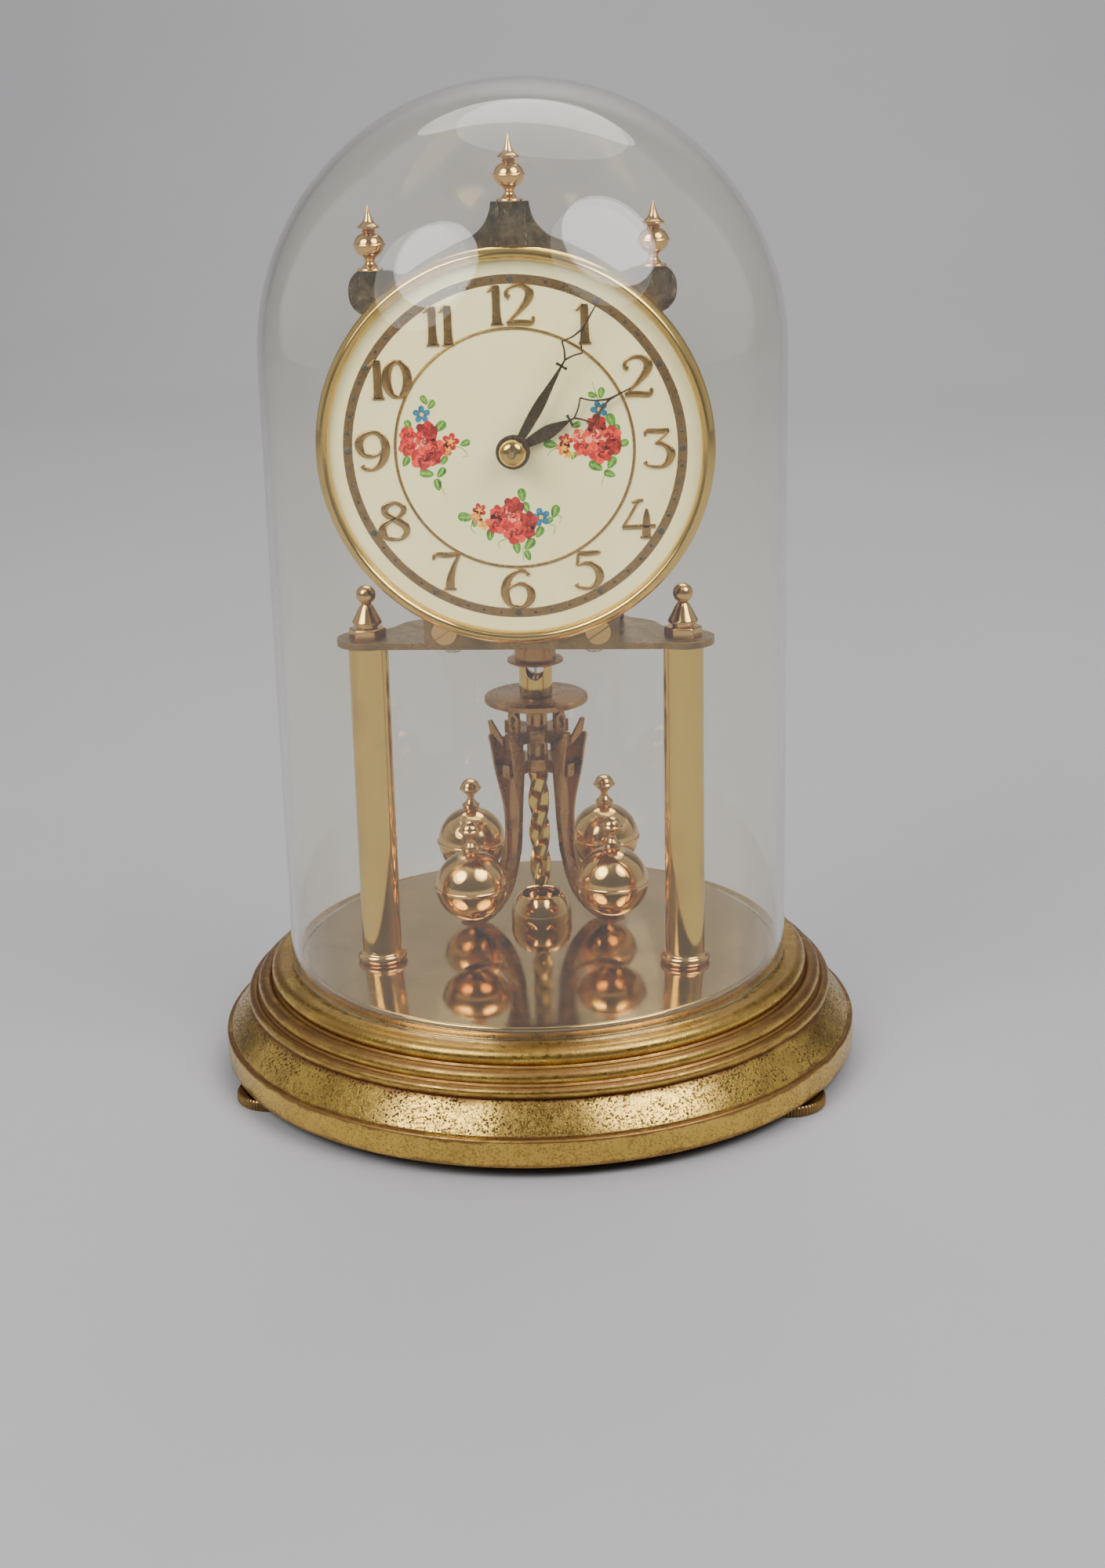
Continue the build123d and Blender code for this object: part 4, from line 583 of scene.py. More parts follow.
# ------------------------------------------------------------------ cup, pillars, small turned pieces
CUP_Z = 37.2                # middle of the cup's round wall
cup = [(0.0, 35.4), (6.2, 35.4), (8.4, 35.9)]
cup += swept(8.8, CUP_Z, range(-8, 45, 4))
cup += arc((6.28, 43.4), (6.2, 44.35), (6.75, 44.1), 4)
cup += swept(9.6, CUP_Z, range(43, -14, -4)) + [(9.3, PLINTH_Z), (0.0, PLINTH_Z)]
lathe("turned_cup", "frame", M["rose"], ("guide_cup",), cup, (PEND,), 72)
screw = [(0.0, 29.6), (2.4, 29.6), (3.0, 30.1), (3.0, 31.0), (1.5, 31.0), (1.5, 32.0), (0.0, 32.0)]
lathe("cup_screw", "frame", M["steel"], (), screw, (PEND,), 32)

lathe("brass_pillars", "frame", M["yellow"], ("pillar_tubes",),
      [(5.05, 38.5), (5.85, 38.5), (5.85, 133.4), (5.05, 133.4)], PILLARS, 64, True)
collar = [(2.1, PLINTH_Z), (6.6, PLINTH_Z)] + arc((6.6, PLINTH_Z), (7.5, 36.5), (6.9, 37.7), 8)
collar += arc((6.9, 37.7), (6.5, 38.05), (6.35, 38.5), 4) + [(2.1, 38.5)]
lathe("turned_collars", "frame", M["rose"], ("pillar_collars",), collar, PILLARS, 64)
peg = [(0.0, 138.4), (3.1, 138.4), (3.1, 139.2), (3.4, 139.35), (4.2, 139.5)]
peg += arc((4.2, 139.5), (4.38, 140.0), (4.2, 140.5), 4)
peg += smooth([(4.2, 140.5), (3.2, 142.4), (2.15, 144.4), (1.35, 145.5)], 4)[1:]
peg += arc((1.35, 145.5), (2.9, 148.0), (0.0, 150.9), 18)[:-1] + [(0.0, 150.9)]
lathe("pillar_knobs", "frame", M["rose"], ("pillar_finials",), peg, PILLARS, 48)
refine(["pillar_hex_nuts"], M["rose"], 0.18)

bush = [(3.2, 119.4), (8.2, 119.4)] + arc((8.2, 119.4), (8.62, 119.6), (8.65, 119.9), 4)
bush += [(8.5, 120.2), (6.6, 120.35), (6.35, 120.7), (6.35, 124.8), (6.15, 125.0), (6.35, 125.2),
         (6.35, 133.4), (3.2, 133.4)]
lathe("spring_bush", "frame", M["copper"], ("guard_bush",), bush, (PEND,), 64, True)

CROWN_SPOTS = ((0.0, 258.8), (-38.6, 241.0), (38.6, 241.0))
CROWN_Y = -28.75
finial = [(0.0, 0.0), (3.5, 0.0), (3.6, 0.3), (3.5, 0.6), (2.3, 0.9)]
finial += smooth([(2.3, 0.9), (1.4, 2.0), (1.35, 2.8), (1.75, 3.4)], 4)[1:] + [(1.95, 3.6)]
finial += arc((1.95, 3.6), (3.5, 4.9), (4.15, 6.5), 8) + arc((4.15, 6.5), (4.48, 6.9), (4.15, 7.3), 4)
finial += arc((4.15, 7.3), (3.4, 8.9), (1.75, 10.0), 8)
finial += [(1.6, 10.2), (2.1, 10.5), (1.6, 10.8), (1.55, 10.95), (2.9, 11.2), (3.1, 11.45), (2.9, 11.75)]
finial += smooth([(2.9, 11.75), (1.7, 12.8), (0.95, 14.4), (0.4, 16.4), (0.16, 17.2)], 4)[1:]
finial += [(0.0, 17.3)]
bm = bmesh.new()
for x, z in CROWN_SPOTS:
    spin(bm, [(r, z + h) for r, h in finial], (x, CROWN_Y), 48)
put(bm, "crown_spires", "frame", M["rose"], ("crown_finials",))

# ------------------------------------------------------------------ balls
ARM_REACH = 30.4            # from the pendulum's axis to a ball's axis
REST_TURN = 6.0             # turn of the pendulum at rest, in degrees
BALL_R, BALL_Z = 10.9, 55.0
KNOB_R, KNOB_Z = 3.2, 72.5
ball = [(0.0, 42.0), (0.85, 42.0), (0.85, 43.7), (2.1, 43.75), (2.2, 44.0), (3.0, 44.5)]
ball += swept(BALL_R, BALL_Z, range(-72, -3, 4))
ball += [(10.88, 54.4), (11.15, 54.5), (11.3, 54.7), (11.3, 55.3), (11.15, 55.5), (10.88, 55.6)]
ball += swept(BALL_R, BALL_Z, range(4, 78, 4))
ball += [(2.15, 65.7), (2.15, 66.0), (2.7, 66.3), (2.9, 66.8), (2.7, 67.3), (2.1, 67.7)]
ball += smooth([(2.1, 67.7), (1.35, 68.7), (1.1, 69.7), (1.5, 70.6)], 4)[1:]
ball += [(3.1, 72.0), (3.5, 72.4), (3.5, 72.75), (3.15, 73.1)]
ball += swept(KNOB_R, KNOB_Z, range(16, 90, 7)) + [(0.0, KNOB_Z + KNOB_R)]
for key, angle in (("front_left", 225), ("front_right", 315), ("back_right", 45), ("back_left", 135)):
    a = radians(angle + REST_TURN)
    centre = (ARM_REACH * cos(a), PEND[1] + ARM_REACH * sin(a))
    body = "arm_" + "".join(word[0] for word in key.split("_"))
    lathe("brass_ball_" + key, body, M["rose"], ("ball_" + key,), ball, (centre,), 96)
    refine(["arm_" + key], M["copper"], 0.1)

# ------------------------------------------------------------------ pendulum
refine(["arm_bracket", "slider_bracket"], M["copper"], 0.12)
refine(["pendulum_head"], M["yellow"], 0.1)
refine(["pendulum_rod"], M["copper"], 0.05)
DISC_SIDES = 180
DISC_KNURL = 0.13
DISC_BORE = 3.25
bm = bmesh.new()
rows = []
for z, r, ridge in ((106.8, 15.3, 0.0), (107.05, 15.75, DISC_KNURL), (108.5, 15.75, DISC_KNURL),
                    (108.8, 15.3, 0.0), (108.8, DISC_BORE, 0.0), (106.8, DISC_BORE, 0.0)):
    ring = []
    for i in range(DISC_SIDES):
        t = 2 * pi * i / DISC_SIDES
        reach = r + (ridge if i % 2 else 0.0)
        ring.append(bm.verts.new((reach * cos(t), PEND[1] + reach * sin(t), z)))
    rows.append(ring)
skin(bm, rows + rows[:1])
put(bm, "knurled_disc", "regulator", M["copper"], ("regulating_disc",))

BAR_LOW, BAR_TALL = 47.5, 37.7
BAR_HALF = 2.45             # half the width of the square bar
BAR_CORNER = 3.3            # its eased corners reach this far
TWIST_PITCH = 43.0          # height of one whole turn
BAR_STEPS = 96
bm = bmesh.new()
rings = []
for i in range(BAR_STEPS + 1):
    z = BAR_LOW + BAR_TALL * i / BAR_STEPS
    turn = 2 * pi * (z - BAR_LOW) / TWIST_PITCH
    ring = []
    for corner in range(4):
        for k in range(-2, 3):
            t = corner * pi / 2 + pi / 4 + k * radians(8.0)
            reach = min(BAR_HALF / max(abs(cos(t)), abs(sin(t))), BAR_CORNER)
            ring.append(bm.verts.new((reach * cos(t + turn), PEND[1] + reach * sin(t + turn), z)))
    rings.append(ring)
skin(bm, rings)
cap(bm, rings)
spin(bm, [(0.0, 40.5), (0.5, 40.5), (0.8, 40.9), (0.8, 47.2), (1.6, BAR_LOW)], PEND, 24)
put(bm, "twisted_bar", "pendulum", M["yellow"], ("twisted_rod",), sharp=40.0)

STRIP_LOW, STRIP_TALL = 114.2, 128.8
STRIP_STEPS = 160           # rings along the strip's length
STRIP_SECTION = ((-0.4, -0.05), (0.4, -0.05), (0.4, 0.05), (-0.4, 0.05))
bm = bmesh.new()
rings = []
for i in range(STRIP_STEPS + 1):
    z = STRIP_LOW + STRIP_TALL * i / STRIP_STEPS
    rings.append([bm.verts.new((x, PEND[1] + y, z)) for x, y in STRIP_SECTION])
skin(bm, rings)
cap(bm, rings)
ribbon_piece = put(bm, "twisting_ribbon", None, M["steel"], ("suspension_spring",))
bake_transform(ribbon_piece)

# ------------------------------------------------------------------ dial
DIAL_BACK = FACE + 0.8
MOVEMENT_FACE = -28.0       # front of the plate that the dial's feet stand on
bm = bmesh.new()
spin_forward(bm, [(2.6, FACE), (33.0, FACE), (44.8, FACE), (51.6, FACE), (52.6, FACE + 0.1),
                  (52.6, DIAL_BACK), (2.6, DIAL_BACK)], steps=192, closed=True)
for x in (-20.0, 20.0):
    spin_forward(bm, [(1.0, DIAL_BACK), (1.0, MOVEMENT_FACE)], (x, DIAL_Z), 24)
dial = put(bm, "dial_disc", "frame", M["cream"], ("dial",))
dial.data.materials.append(M["dull"])
for face in dial.data.polygons:
    if face.center.y > (DIAL_BACK - 0.1) * MM:
        face.material_index = 1
bm = bmesh.new()
spin_forward(bm, [(32.65, FACE), (32.78, FACE - 0.22), (33.1, FACE - 0.32), (33.42, FACE - 0.22),
                  (33.55, FACE)], steps=192)
put(bm, "inner_ring", "frame", M["gold"])
bm = bmesh.new()
spin_forward(bm, [(45.0, FACE), (45.1, FACE - 0.1), (47.5, FACE - 0.1), (47.6, FACE)], steps=192)
put(bm, "minute_track", "frame", M["track"])
bm = bmesh.new()
TRACK_R = 46.3
for i in range(60):
    a = 2 * pi * i / 60
    size = 0.95 if i % 5 == 0 else 0.5
    spin_forward(bm, [(size, FACE - 0.09), (size * 0.8, FACE - 0.2), (0.0, FACE - 0.24)],
                 (TRACK_R * sin(a), DIAL_Z + TRACK_R * cos(a)), 14)
put(bm, "minute_dots", "frame", M["dot"])

bezel = [(51.45, -34.5)] + arc((51.45, -34.5), (51.7, -36.0), (52.4, -36.9), 6)
bezel += arc((52.4, -36.9), (53.3, -37.1), (54.0, -36.6), 6)
bezel += arc((54.0, -36.6), (54.95, -35.3), (55.2, -33.4), 8)
bezel += [(55.1, -32.0), (54.7, -31.4), (52.7, -31.4), (52.7, -34.3)]
bm = bmesh.new()
spin_forward(bm, bezel, steps=256, closed=True)
put(bm, "dial_bezel", "frame", M["yellow"], ("bezel",), 40.0)

# strokes of the numerals: points (x, z, width) about each digit's middle
STEM = [(0.35, 5.3, 1.3), (0.3, 3.6, 1.75), (0.3, 0.0, 1.7), (0.35, -3.2, 1.9), (0.4, -5.25, 2.3)]
FOOT = [(-1.35, -5.3, 0.45), (0.4, -5.15, 0.7), (2.15, -5.3, 0.45)]
SIX = [(3.1, 4.0, 1.0), (2.2, 5.0, 0.8), (0.2, 5.1, 0.8), (-2.2, 3.6, 1.4), (-3.5, 0.8, 1.9),
       (-3.6, -1.9, 1.9), (-2.4, -4.3, 1.3), (0.1, -5.2, 0.8), (2.8, -4.0, 1.5), (3.7, -1.7, 1.9),
       (2.8, 0.6, 1.4), (0.6, 1.5, 0.8), (-1.6, 0.9, 0.6), (-3.0, -0.5, 0.5)]
DIGITS = {
    "0": [[(2.9 * sin(t), 4.75 * cos(t), 0.8 + 1.2 * abs(sin(t)))
           for t in (2 * pi * i / 16 for i in range(17))]],
    "1": [STEM, FOOT, [(-2.1, 3.6, 0.45), (-1.3, 4.1, 0.7), (-0.1, 5.2, 0.9)]],
    "2": [[(-2.5, 2.0, 1.2), (-3.4, 2.5, 0.8), (-3.1, 4.1, 0.7), (-1.0, 5.2, 0.7), (1.4, 5.0, 1.2),
           (2.9, 3.4, 1.9), (2.4, 1.3, 1.7), (0.2, -1.4, 1.1), (-2.2, -3.7, 0.7), (-3.4, -4.9, 0.5)],
          [(-3.3, -4.9, 1.0), (0.0, -4.75, 1.25), (3.2, -4.8, 1.2), (3.9, -3.1, 0.4)]],
    "3": [[(-3.4, 3.3, 0.4), (-2.9, 4.7, 0.9), (0.2, 4.7, 1.1), (3.2, 5.0, 0.8)],
          [(3.1, 4.9, 0.6), (1.5, 3.2, 0.5), (-0.5, 1.5, 0.6)],
          [(-0.6, 1.4, 0.5), (2.0, 0.9, 1.1), (3.7, -1.3, 1.9), (2.7, -4.0, 1.4), (0.1, -5.2, 0.7),
           (-2.6, -4.7, 0.7), (-3.5, -3.7, 1.0)]],
    "4": [[(-2.0, 4.7, 0.4), (-0.3, 5.0, 0.9), (1.3, 5.3, 0.4)],
          [(-0.2, 5.0, 0.5), (-2.2, 1.4, 0.6), (-4.5, -2.4, 0.6)],
          [(-4.6, -2.4, 0.9), (0.0, -2.2, 1.0), (4.6, -2.0, 0.8)],
          [(2.1, 2.9, 0.4), (2.1, 0.6, 1.4), (2.0, -2.6, 1.8), (2.0, -5.1, 1.9)],
          [(0.3, -5.2, 0.4), (2.0, -5.1, 0.7), (3.7, -5.2, 0.4)]],
    "5": [[(-2.6, 4.8, 0.8), (0.0, 4.8, 1.1), (3.0, 5.1, 0.8), (3.4, 5.3, 0.4)],
          [(-2.6, 4.8, 0.5), (-2.8, 3.0, 0.6), (-2.9, 1.5, 0.6)],
          [(-2.9, 1.5, 0.5), (-0.6, 2.0, 0.8), (2.0, 1.2, 1.5), (3.3, -1.4, 1.9), (2.3, -4.0, 1.3),
           (-0.3, -5.2, 0.7), (-2.7, -4.7, 0.8), (-3.3, -3.9, 1.0)]],
    "6": [SIX],
    "7": [[(-3.9, 3.2, 0.4), (-3.3, 4.7, 0.9), (0.0, 4.6, 1.2), (3.6, 5.0, 0.7)],
          [(3.5, 4.9, 0.5), (1.9, 1.6, 1.0), (0.8, -2.0, 1.7), (0.5, -5.1, 2.1)],
          [(-1.3, -5.2, 0.4), (0.5, -5.1, 0.7), (2.3, -5.3, 0.4)]],
    "8": [[(0.2, 5.2, 0.7), (-2.3, 4.1, 1.5), (-2.5, 2.3, 1.6), (-0.2, 0.6, 1.5), (2.6, -1.0, 1.9),
           (3.3, -3.2, 1.4), (1.9, -4.9, 0.8), (0.0, -5.25, 0.7), (-2.2, -4.8, 1.1), (-3.5, -3.1, 1.9),
           (-2.7, -0.9, 1.2), (0.1, 0.7, 0.7), (2.4, 2.3, 1.1), (2.5, 4.0, 1.2), (0.2, 5.2, 0.7)]],
}
DIGITS["9"] = [[(-x, -z, w) for x, z, w in SIX]]
# digits of the two-digit hours, each with its shift from the middle
SPREAD = {"10": ((-3.4, "1"), (2.3, "0")), "11": ((-2.2, "1"), (2.1, "1")), "12": ((-4.2, "1"), (2.3, "2"))}
NUMERAL_R = 39.4
bm = bmesh.new()
for hour in range(1, 13):
    a = radians(hour * 30)
    cx, cz = NUMERAL_R * sin(a), DIAL_Z + NUMERAL_R * cos(a)
    for shift, digit in SPREAD.get(str(hour), ((0.0, str(hour)),)):
        for stroke in DIGITS[digit]:
            line = [(cx + shift + x, cz + z, w * 1.2 + 0.22) for x, z, w in smooth(stroke, 5)]
            ribbon(bm, line, FACE - 0.01, 0.45)
put(bm, "gilt_numerals", "frame", M["gold"], sharp=50.0)

# ------------------------------------------------------------------ flowers on the dial
rng = random.Random(7)
flowers = {}


def shape(key, points, layer):
    """One flat dab of paint of a colour, a little above the dial."""
    bm = flowers.setdefault(key, bmesh.new())
    y = FACE - 0.015 - 0.012 * layer
    ring = [bm.verts.new((x, y, DIAL_Z + z)) for x, z in points]
    bm.faces.new(ring)


def petal(cx, cz, length, width, angle, curl=0.0, steps=14):
    """Egg-shaped outline that starts at cx, cz and points along angle."""
    out = []
    for i in range(steps):
        t = 2 * pi * i / steps
        u = length * (0.5 - 0.5 * cos(t))
        v = width * sin(t) * (0.55 + 0.45 * u / length) + curl * (u / length) ** 2
        out.append((cx + u * cos(angle) - v * sin(angle), cz + u * sin(angle) + v * cos(angle)))
    return out


def disc(cx, cz, r, wobble=0.1, steps=22):
    """Round outline with a slightly uneven edge."""
    start = rng.random() * 6
    turns = [2 * pi * i / steps for i in range(steps)]
    return [(cx + r * (1 + wobble * sin(5 * t + start)) * cos(t),
             cz + r * (1 + wobble * cos(4 * t + start)) * sin(t)) for t in turns]


ROSE_TONES = {"red": ("red", "coral", "deep"), "deep": ("deep", "red", "deep"),
              "blush": ("coral", "blush", "red")}


def petals(tone, cx, cz, r, a, inset, length, width, lean, curl, layer):
    """One petal of a rose of radius r: it starts inset from the middle along a and leans off it."""
    x, z = cx + r * inset * cos(a), cz + r * inset * sin(a)
    shape(tone, petal(x, z, r * length, r * width, a + lean, r * curl), layer)


def rose(cx, cz, r, base, layer):
    """Open rose: a dark heart, a ring of outer petals and lighter dabs."""
    tones = ROSE_TONES[base]
    shape(tones[0], disc(cx, cz, r * 0.9), layer)
    start = rng.random() * 6
    for i in range(6):
        a = start + i * pi / 3
        tone = tones[0] if i % 2 else tones[1]
        petals(tone, cx, cz, r, a, 0.30, 0.78, 0.42, 0.35, 0.0, layer + 1 + i % 2)
    for i in range(5):
        a = start + 0.5 + i * 2 * pi / 5
        petals(tones[1 + i % 2], cx, cz, r, a, 0.34, 0.62, 0.15, 1.5, 0.2, layer + 3)
    shape(tones[2], disc(cx, cz, r * 0.33), layer + 4)
    for i in range(3):
        a = start + i * 2.1
        petals(tones[1], cx, cz, r, a, 0.12, 0.34, 0.08, 1.3, 0.15, layer + 5)


def blossom(cx, cz, r, tone, heart, layer, start):
    """Five-petalled flower with a yellow eye."""
    for i in range(5):
        a = start + i * 2 * pi / 5
        shape(tone, petal(cx, cz, r, r * 0.42, a), layer)
        shape(heart, petal(cx, cz, r * 0.55, r * 0.14, a + 0.1), layer + 1)
    shape("sun", disc(cx, cz, r * 0.24, 0.05, 12), layer + 2)


def leaf(cx, cz, size, angle):
    """Leaf with a lighter vein."""
    a = radians(angle)
    size *= 1.2
    x, z = cx - size * 0.5 * cos(a), cz - size * 0.5 * sin(a)
    shape("leaf", petal(x, z, size, size * 0.40, a), 0)
    x, z = cx - size * 0.42 * cos(a), cz - size * 0.42 * sin(a)
    shape("sprig", petal(x, z, size * 0.8, size * 0.10, a, size * 0.06), 1)


def tendril(points):
    """Thin curling stem that tapers towards its end."""
    line = smooth([(x, z, 0.34 - 0.2 * i / len(points)) for i, (x, z) in enumerate(points)], 5)
    left, right = [], []
    for i, (x, z, w) in enumerate(line):
        ax, az, _ = line[max(i - 1, 0)]
        bx, bz, _ = line[min(i + 1, len(line) - 1)]
        d = sqrt((bx - ax) ** 2 + (bz - az) ** 2) or 1.0
        nx, nz = -(bz - az) / d * w / 2, (bx - ax) / d * w / 2
        left.append((x + nx, z + nz))
        right.append((x - nx, z - nz))
    shape("sprig", left + right[::-1], 0)


TENDRILS = (
    ((-24.0, 12.4), (-23.2, 13.8), (-21.9, 14.0)),
    ((-16.2, 1.2), (-14.2, 0.2), (-13.0, -1.6), (-14.4, -1.9)),
    ((-21.0, -9.0), (-20.4, -11.0), (-19.7, -12.6)), ((23.6, 13.0), (22.6, 15.8), (21.8, 18.2)),
    ((12.4, 0.6), (9.9, -0.6), (9.2, -2.0)), ((25.6, -5.4), (24.4, -8.4), (23.9, -10.2)),
    ((-12.0, -19.6), (-12.7, -22.0), (-11.4, -23.4)), ((9.0, -21.0), (10.8, -21.6), (10.4, -24.0)),
    ((10.6, -18.4), (12.6, -19.0), (12.0, -20.8)), ((-3.0, -25.0), (-5.2, -26.2), (-4.6, -27.8)),
    ((1.8, -27.0), (1.6, -29.4), (1.8, -31.4)))
LEAVES = (
    (-20.4, 6.6, 3.4, 40), (-29.2, 7.0, 2.7, 110), (-13.6, 1.9, 2.6, 20), (-24.6, 14.0, 2.4, 120),
    (-22.6, 12.6, 2.4, 50), (-24.6, -6.4, 3.4, 170), (-20.5, -6.2, 2.8, 50), (-21.6, -9.6, 2.9, 100),
    (-30.2, -3.0, 2.7, 60), (-19.6, -2.8, 2.4, 60), (-18.6, -0.8, 2.0, 10),
    (10.0, 1.4, 3.2, 170), (17.2, 6.6, 2.4, 20), (26.8, 7.8, 3.4, 110), (28.0, 5.2, 2.8, 60),
    (30.0, 1.4, 2.8, 20), (22.4, -4.8, 3.6, 150), (26.8, -3.9, 3.2, 60), (26.2, -7.0, 2.8, 160),
    (24.2, 15.4, 2.6, 80), (21.8, 14.8, 2.2, 160), (16.4, -1.9, 2.0, 60), (28.2, -0.8, 2.2, 60),
    (-14.2, -18.8, 3.6, 175), (1.8, -12.7, 3.2, 100), (2.9, -16.2, 2.8, 110), (10.9, -17.4, 3.2, 70),
    (9.2, -20.0, 2.2, 40), (6.4, -23.2, 3.0, 60), (-7.4, -23.8, 3.0, 80), (0.0, -27.6, 3.0, 100),
    (3.6, -26.6, 3.4, 50), (3.0, -29.8, 2.6, 110), (-11.6, -20.4, 2.2, 80))
BLUE_BLOSSOMS = ((-25.4, 10.0, 2.5), (23.6, 10.8, 2.5), (6.9, -19.0, 2.7))
BLOSSOMS = (
    (-17.6, 2.4, 2.5, "red"), (-19.2, 0.0, 1.9, "orange"), (14.2, 2.3, 2.1, "red"),
    (13.6, 0.2, 2.1, "orange"), (14.9, -1.4, 1.5, "sun"), (-10.2, -16.8, 2.0, "red"),
    (-11.0, -18.6, 1.9, "orange"),
    (-9.0, -20.8, 1.9, "sun"))
ROSES = (
    (-29.4, 4.4, 2.3, "red"), (-29.6, 1.0, 2.5, "red"), (-24.2, 5.0, 3.1, "deep"),
    (-25.0, 2.8, 2.3, "blush"), (-22.0, 0.4, 2.9, "red"), (-25.6, -2.2, 3.2, "red"),
    (-22.6, -1.8, 2.4, "deep"),
    (22.8, 6.8, 2.7, "deep"), (26.6, 3.4, 3.0, "red"), (27.2, 0.6, 2.4, "deep"), (22.4, 3.6, 3.0, "blush"),
    (17.8, 3.6, 1.9, "blush"), (19.0, 0.6, 2.6, "red"), (23.8, -0.9, 3.2, "red"),
    (-0.8, -16.2, 3.0, "deep"), (-1.6, -18.4, 2.6, "blush"), (-5.0, -17.8, 2.3, "red"),
    (-5.4, -20.6, 3.0, "red"), (3.2, -20.0, 2.7, "deep"), (-0.3, -23.2, 3.3, "red"),
    (3.2, -23.0, 2.1, "deep"))
for points in TENDRILS:
    tendril(points)
for x, z, size, angle in LEAVES:
    leaf(x, z, size, angle)
for x, z, r in BLUE_BLOSSOMS:
    blossom(x, z, r, "blue", "blue", 3, rng.random())
for x, z, r, tone in BLOSSOMS:
    blossom(x, z, r, tone, "orange" if tone != "orange" else "sun", 4, rng.random())
for x, z, r, base in ROSES:
    rose(x, z, r, base, 6 + int(rng.random() * 3))
for key, bm in flowers.items():
    put(bm, "painted_" + key, "frame", M[key])

# ------------------------------------------------------------------ hands


def hand(name, body, node, angle, y, blade, bar, kite, tip, boss):
    """Pierced spade hand from strokes: leaf blade, cross-bar, open kite and needle."""
    a = radians(angle)

    def at(u, v):
        return u * sin(a) + v * cos(a), DIAL_Z + u * cos(a) - v * sin(a)

    bm = bmesh.new()
    low, wide, half, high = kite
    strokes = [smooth([(u, 0.0, w) for u, w in blade], 4),
               [(bar, -1.7, 0.9), (bar, -0.6, 0.7), (bar, 0.6, 0.7), (bar, 1.7, 0.9)],
               [(bar - 1.2, 0.0, 0.7), (low + 0.2, 0.0, 0.55)]]
    for s in (-1, 1):
        rising = (low + (wide - low) * 0.55, s * half * 0.45, 0.5)
        corner = (wide, s * half, 0.5)
        closing = (wide + (high - wide) * 0.42, s * half * 0.42, 0.5)
        strokes.append(smooth([(low, 0.0, 0.6), rising, corner], 6))
        strokes.append(smooth([corner, closing, (high, 0.0, 0.7)], 6))
    needle = ((high - 0.6, 0.9), (high + 1.5, 0.62), (tip - 2, 0.34), (tip, 0.12))
    strokes.append([(u, 0.0, w) for u, w in needle])
    for stroke in strokes:
        ribbon(bm, stroke, y, 0.32, 0.15, at, False)
    spin_forward(bm, [(1.4, y + 0.15), (boss - 0.1, y + 0.15), (boss, y), (boss, y - 0.2),
                      (boss - 0.15, y - 0.33), (1.4, y - 0.33)], steps=48, closed=True)
    put(bm, name, body, M["blued"], (node,), 30.0)


HOUR_ANGLE, MINUTE_ANGLE = 62.5, 30.7       # five past two
HOUR_Y, MINUTE_Y = -35.85, -38.15
hand("hour_spade", "hour_pipe", "hour_hand", HOUR_ANGLE, HOUR_Y,
     ((3.2, 2.2), (7.0, 3.3), (11.0, 3.9), (14.5, 2.4), (17.0, 0.9)), 17.6,
     (19.0, 23.0, 4.1, 30.0), 38.8, 4.4)
hand("minute_spade", "centre_arbor", "minute_hand", MINUTE_ANGLE, MINUTE_Y,
     ((2.6, 2.0), (9.0, 2.9), (15.0, 3.0), (21.0, 1.7), (26.4, 0.7)), 27.0,
     (28.9, 32.9, 3.2, 38.6), 48.6, 4.0)
bm = bmesh.new()
washer = [(0.82, -38.6), (4.6, -38.6), (4.75, -38.8), (4.75, -39.1), (4.6, -39.3), (3.4, -39.3),
          (0.82, -39.2)]
spin_forward(bm, washer, steps=64, closed=True)
put(bm, "dark_washer", "centre_arbor", M["blued"], ("hand_nut",))
bm = bmesh.new()
nut = [(0.82, -39.3), (3.75, -39.3), (3.75, -39.9)]
nut += arc((3.75, -39.9), (3.2, -41.9), (1.5, -42.9), 8) + [(1.2, -43.0), (0.82, -42.8)]
spin_forward(bm, nut, steps=64, closed=True)
put(bm, "domed_hand_nut", "centre_arbor", M["yellow"], ("hand_nut",))
# near-black ring laid in the hollow at the hand nut's tip, round the arbor: painted shade of the bore, not
# a part of its own
bm = bmesh.new()
spin_forward(bm, [(0.84, -43.05), (1.25, -42.98), (1.35, -42.8), (0.84, -42.7)], steps=32, closed=True)
put(bm, "nut_recess", "centre_arbor", M["dot"])
bm = bmesh.new()
spin_forward(bm, [(0.84, -42.7), (0.84, -43.9), (0.6, -44.15), (0.0, -44.22)], steps=32)
put(bm, "arbor_tip", "centre_arbor", M["steel"])

# ------------------------------------------------------------------ movement: CAD shapes, finished
refine(["platform"], M["dull"], 0.25)
refine(["crown_plate"], M["tarnish"], 0.12)
refine(["front_plate", "back_plate", "anchor_bridge", "suspension_bracket", "plate_posts"], M["dull"], 0.12)
refine(["plate_screws"], M["rose"], 0.12)
refine(["platform_screws", "back_screws", "pillar_bolts"], M["steel"], 0.1)
refine(["suspension_top_block", "suspension_bottom_block", "suspension_fork"], M["yellow"], 0.1)
refine(["click", "ratchet_wheel", "barrel_arbor"], M["steel"], 0.08)
refine(["barrel"], M["wheel"], 0.0)
refine(["second_wheel", "third_wheel", "centre_wheel", "escape_wheel", "minute_wheel", "hour_wheel"],
       M["wheel"], 0.0)
refine(["cannon_pinion", "mainspring", "anchor"], M["steel"], 0.0)

